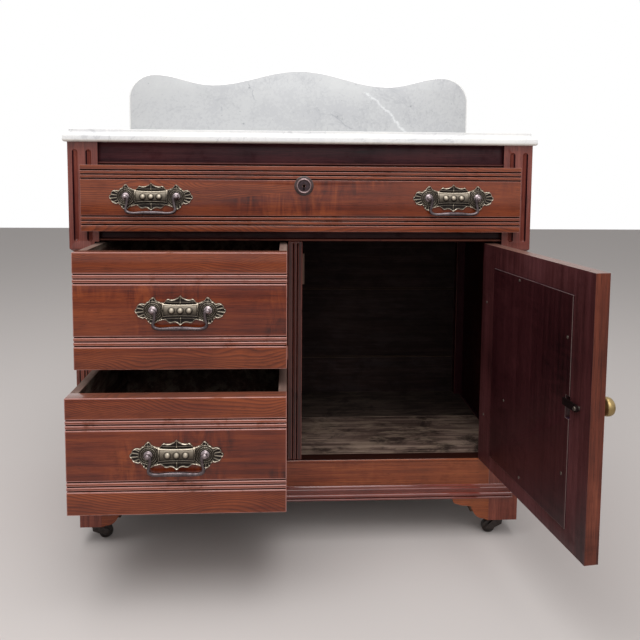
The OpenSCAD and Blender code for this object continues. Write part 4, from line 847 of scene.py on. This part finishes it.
wheelLook = dict(count=48, half=[  # millimetres of radius and half width, from the bore to the tread
    (2.1, 5), (4.4, 5), (5, 4.7), (5.3, 3.5), (9.2, 3), (9.8, 4.4), (10.6, 4.8), (11.3, 4.7), (11.8, 3.7), (12, 2)])
half = wheelLook["half"]
outline = [(r, -h) for r, h in half] + half[::-1] + [(half[0][0], -half[0][1])]
for node in nodes:
    if node.endswith("_wheel"):
        roll = jointOf(node.replace("_wheel", "_roll"))
        wheel = lathe(node + "Turned", millimetres(outline), roll["pos_m"], roll["axis"], wheelLook["count"])
        finishPiece(wheel, "iron", bodyOf[node], slotOf[node], node)
print("keyhole ring, knob and wheels turned")


nailLook = dict(  # metres, but the spots in millimetres: out from the door's hinge and up, and along the back
    radius=0.0023, rise=0.0007, hingeSpot=(0.33225, -0.0276), probe=0.1,
    doorSpots=[(136, 489), (275, 436), (94.5, 287), (18, 236), (153.6, 186), (272, 247), (18.6, 432)],
    boardRows=(-320, -120, 120, 320), boardShares=(0.2, 0.8))  # shares of a board's width


def onSurface(node, start, aim):  # where a straight line first meets a dressed piece
    piece = bpy.data.objects[node + "Skin"]
    hit, spot, *rest = piece.ray_cast(Vector(start), Vector(aim))
    return spot if hit else None


view = bpy.context.evaluated_depsgraph_get()
view.update()
doorWay = Vector((-math.cos(rad(doorTurn)), -math.sin(rad(doorTurn)), 0))
outwards, size, rise, probe = Vector(doorInner), nailLook["radius"], nailLook["rise"], nailLook["probe"]
doorNails = []
for reach, height in nailLook["doorSpots"]:
    start = Vector((*nailLook["hingeSpot"], height / 1000)) + doorWay * reach / 1000 + outwards * probe
    hits = [q for q in (onSurface(n, start, -outwards) for n in ("door_frame", "door_panel")) if q]
    doorNails.append(min(hits, key=lambda q: (q - start).length))
domedHeads("doorNails", doorNails, doorInner, size, rise, "hingeSteel", bodyOf["door_frame"], "dark_iron")
lo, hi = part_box("back_boards")
boardNails = []
for x in nailLook["boardRows"]:
    for i in range(backCount):
        for share in nailLook["boardShares"]:
            start = Vector((x / 1000, hi.y + probe, lo.z + (hi.z - lo.z) * (i + share) / backCount))
            spot = onSurface("back_boards", start, toFront)
            if spot:
                boardNails.append(spot)
domedHeads("boardNails", boardNails, toBack, size, rise, "iron", bodyOf["back_boards"], "dark_iron")
print("nails driven:", len(doorNails), len(boardNails))


stageLook = dict(floorColour=(0.64, 0.595, 0.575, 1), floorReach=6, worldPower=0.36,
                 lights={  # power, size, place, and the spot it looks at
                     "ceilingLight": (52, 2.4, (-0.3, -0.7, 2.6), (0, 0, 0.4)),
                     "frontFill": (24, 2.0, (0.4, -2.5, 2.1), (0, 0, 0.3))})


def stageFloor(name, reach, colour):
    bm = bmesh.new()
    bm.faces.new([bm.verts.new((x * reach, y * reach, 0)) for x, y in ((-1, -1), (1, -1), (1, 1), (-1, 1))])
    obj = meshObject(name, bm, smooth=False)
    p = Paint(name + "Paint")
    obj.data.materials.append(p.feed(colour=colour, rough=0.9, level=0.2))


def areaLight(name, power, size, at, aim):
    data = bpy.data.lights.new(name, "AREA")
    data.energy, data.size = power, size
    obj = newObject(name, data)
    obj.location = at
    obj.rotation_euler = (Vector(aim) - Vector(at)).to_track_quat("-Z", "Y").to_euler()


stageFloor("floor", stageLook["floorReach"], stageLook["floorColour"])
for name, facts in stageLook["lights"].items():
    areaLight(name, *facts)

world = bpy.data.worlds.new("studio")
bpy.context.scene.world = world
world.use_nodes = True
sky = Nodes(world.node_tree)
dim = sky.tree.nodes["Background"]
dim.inputs["Color"].default_value, dim.inputs["Strength"].default_value = (1, 1, 1, 1), stageLook["worldPower"]
bright = sky.add("Background", None, {"Color": (1, 1, 1, 1), "Strength": 1.0})
rays = sky.add("LightPath").socket.node.outputs
seen, glossy, passing = (Sock(sky.tree, rays["Is " + kind + " Ray"]) for kind in ("Camera", "Glossy", "Transmission"))
shown = sky.add("MixShader", None, {"Fac": seen.atLeast(glossy).atLeast(passing),
                                    1: Sock(sky.tree, dim.outputs[0]), 2: bright})
sky.tree.links.new(shown.socket, sky.tree.nodes["World Output"].inputs["Surface"])

cameraLook = dict(  # fitted to the straight edges of the case: pixels, then degrees, metres, and millimetres of sensor
    focal=684.08, centreX=322.0, centreY=224.88, imageSize=640, pitch=4.94, yaw=2.89, roll=0.44,
    place=(-0.02672, -1.18018, 0.66073), clip=(0.01, 50), sensor=36.0)


def makeCamera(look):
    data = bpy.data.cameras.new("photoCamera")
    obj = newObject("photoCamera", data)
    half = look["imageSize"] / 2
    data.sensor_width = look["sensor"]
    data.lens = look["focal"] / look["imageSize"] * look["sensor"]
    data.shift_x = (half - look["centreX"]) / look["imageSize"]
    data.shift_y = (look["centreY"] - half) / look["imageSize"]
    data.clip_start, data.clip_end = look["clip"]
    yaw, pitch, roll = (rad(look[k]) for k in ("yaw", "pitch", "roll"))
    ahead = Vector((math.sin(yaw) * math.cos(pitch), math.cos(yaw) * math.cos(pitch), -math.sin(pitch)))
    right = Vector((math.cos(yaw), -math.sin(yaw), 0))
    up = right.cross(ahead)
    rolledRight = right * math.cos(roll) + up * math.sin(roll)
    rolledUp = -right * math.sin(roll) + up * math.cos(roll)
    turn = Matrix((rolledRight, rolledUp, -ahead)).transposed()
    obj.matrix_world = Matrix.Translation(look["place"]) @ turn.to_4x4()
    bpy.context.scene.camera = obj


makeCamera(cameraLook)
bpy.context.scene.view_settings.view_transform = "Standard"
print("stage, lights and camera set")
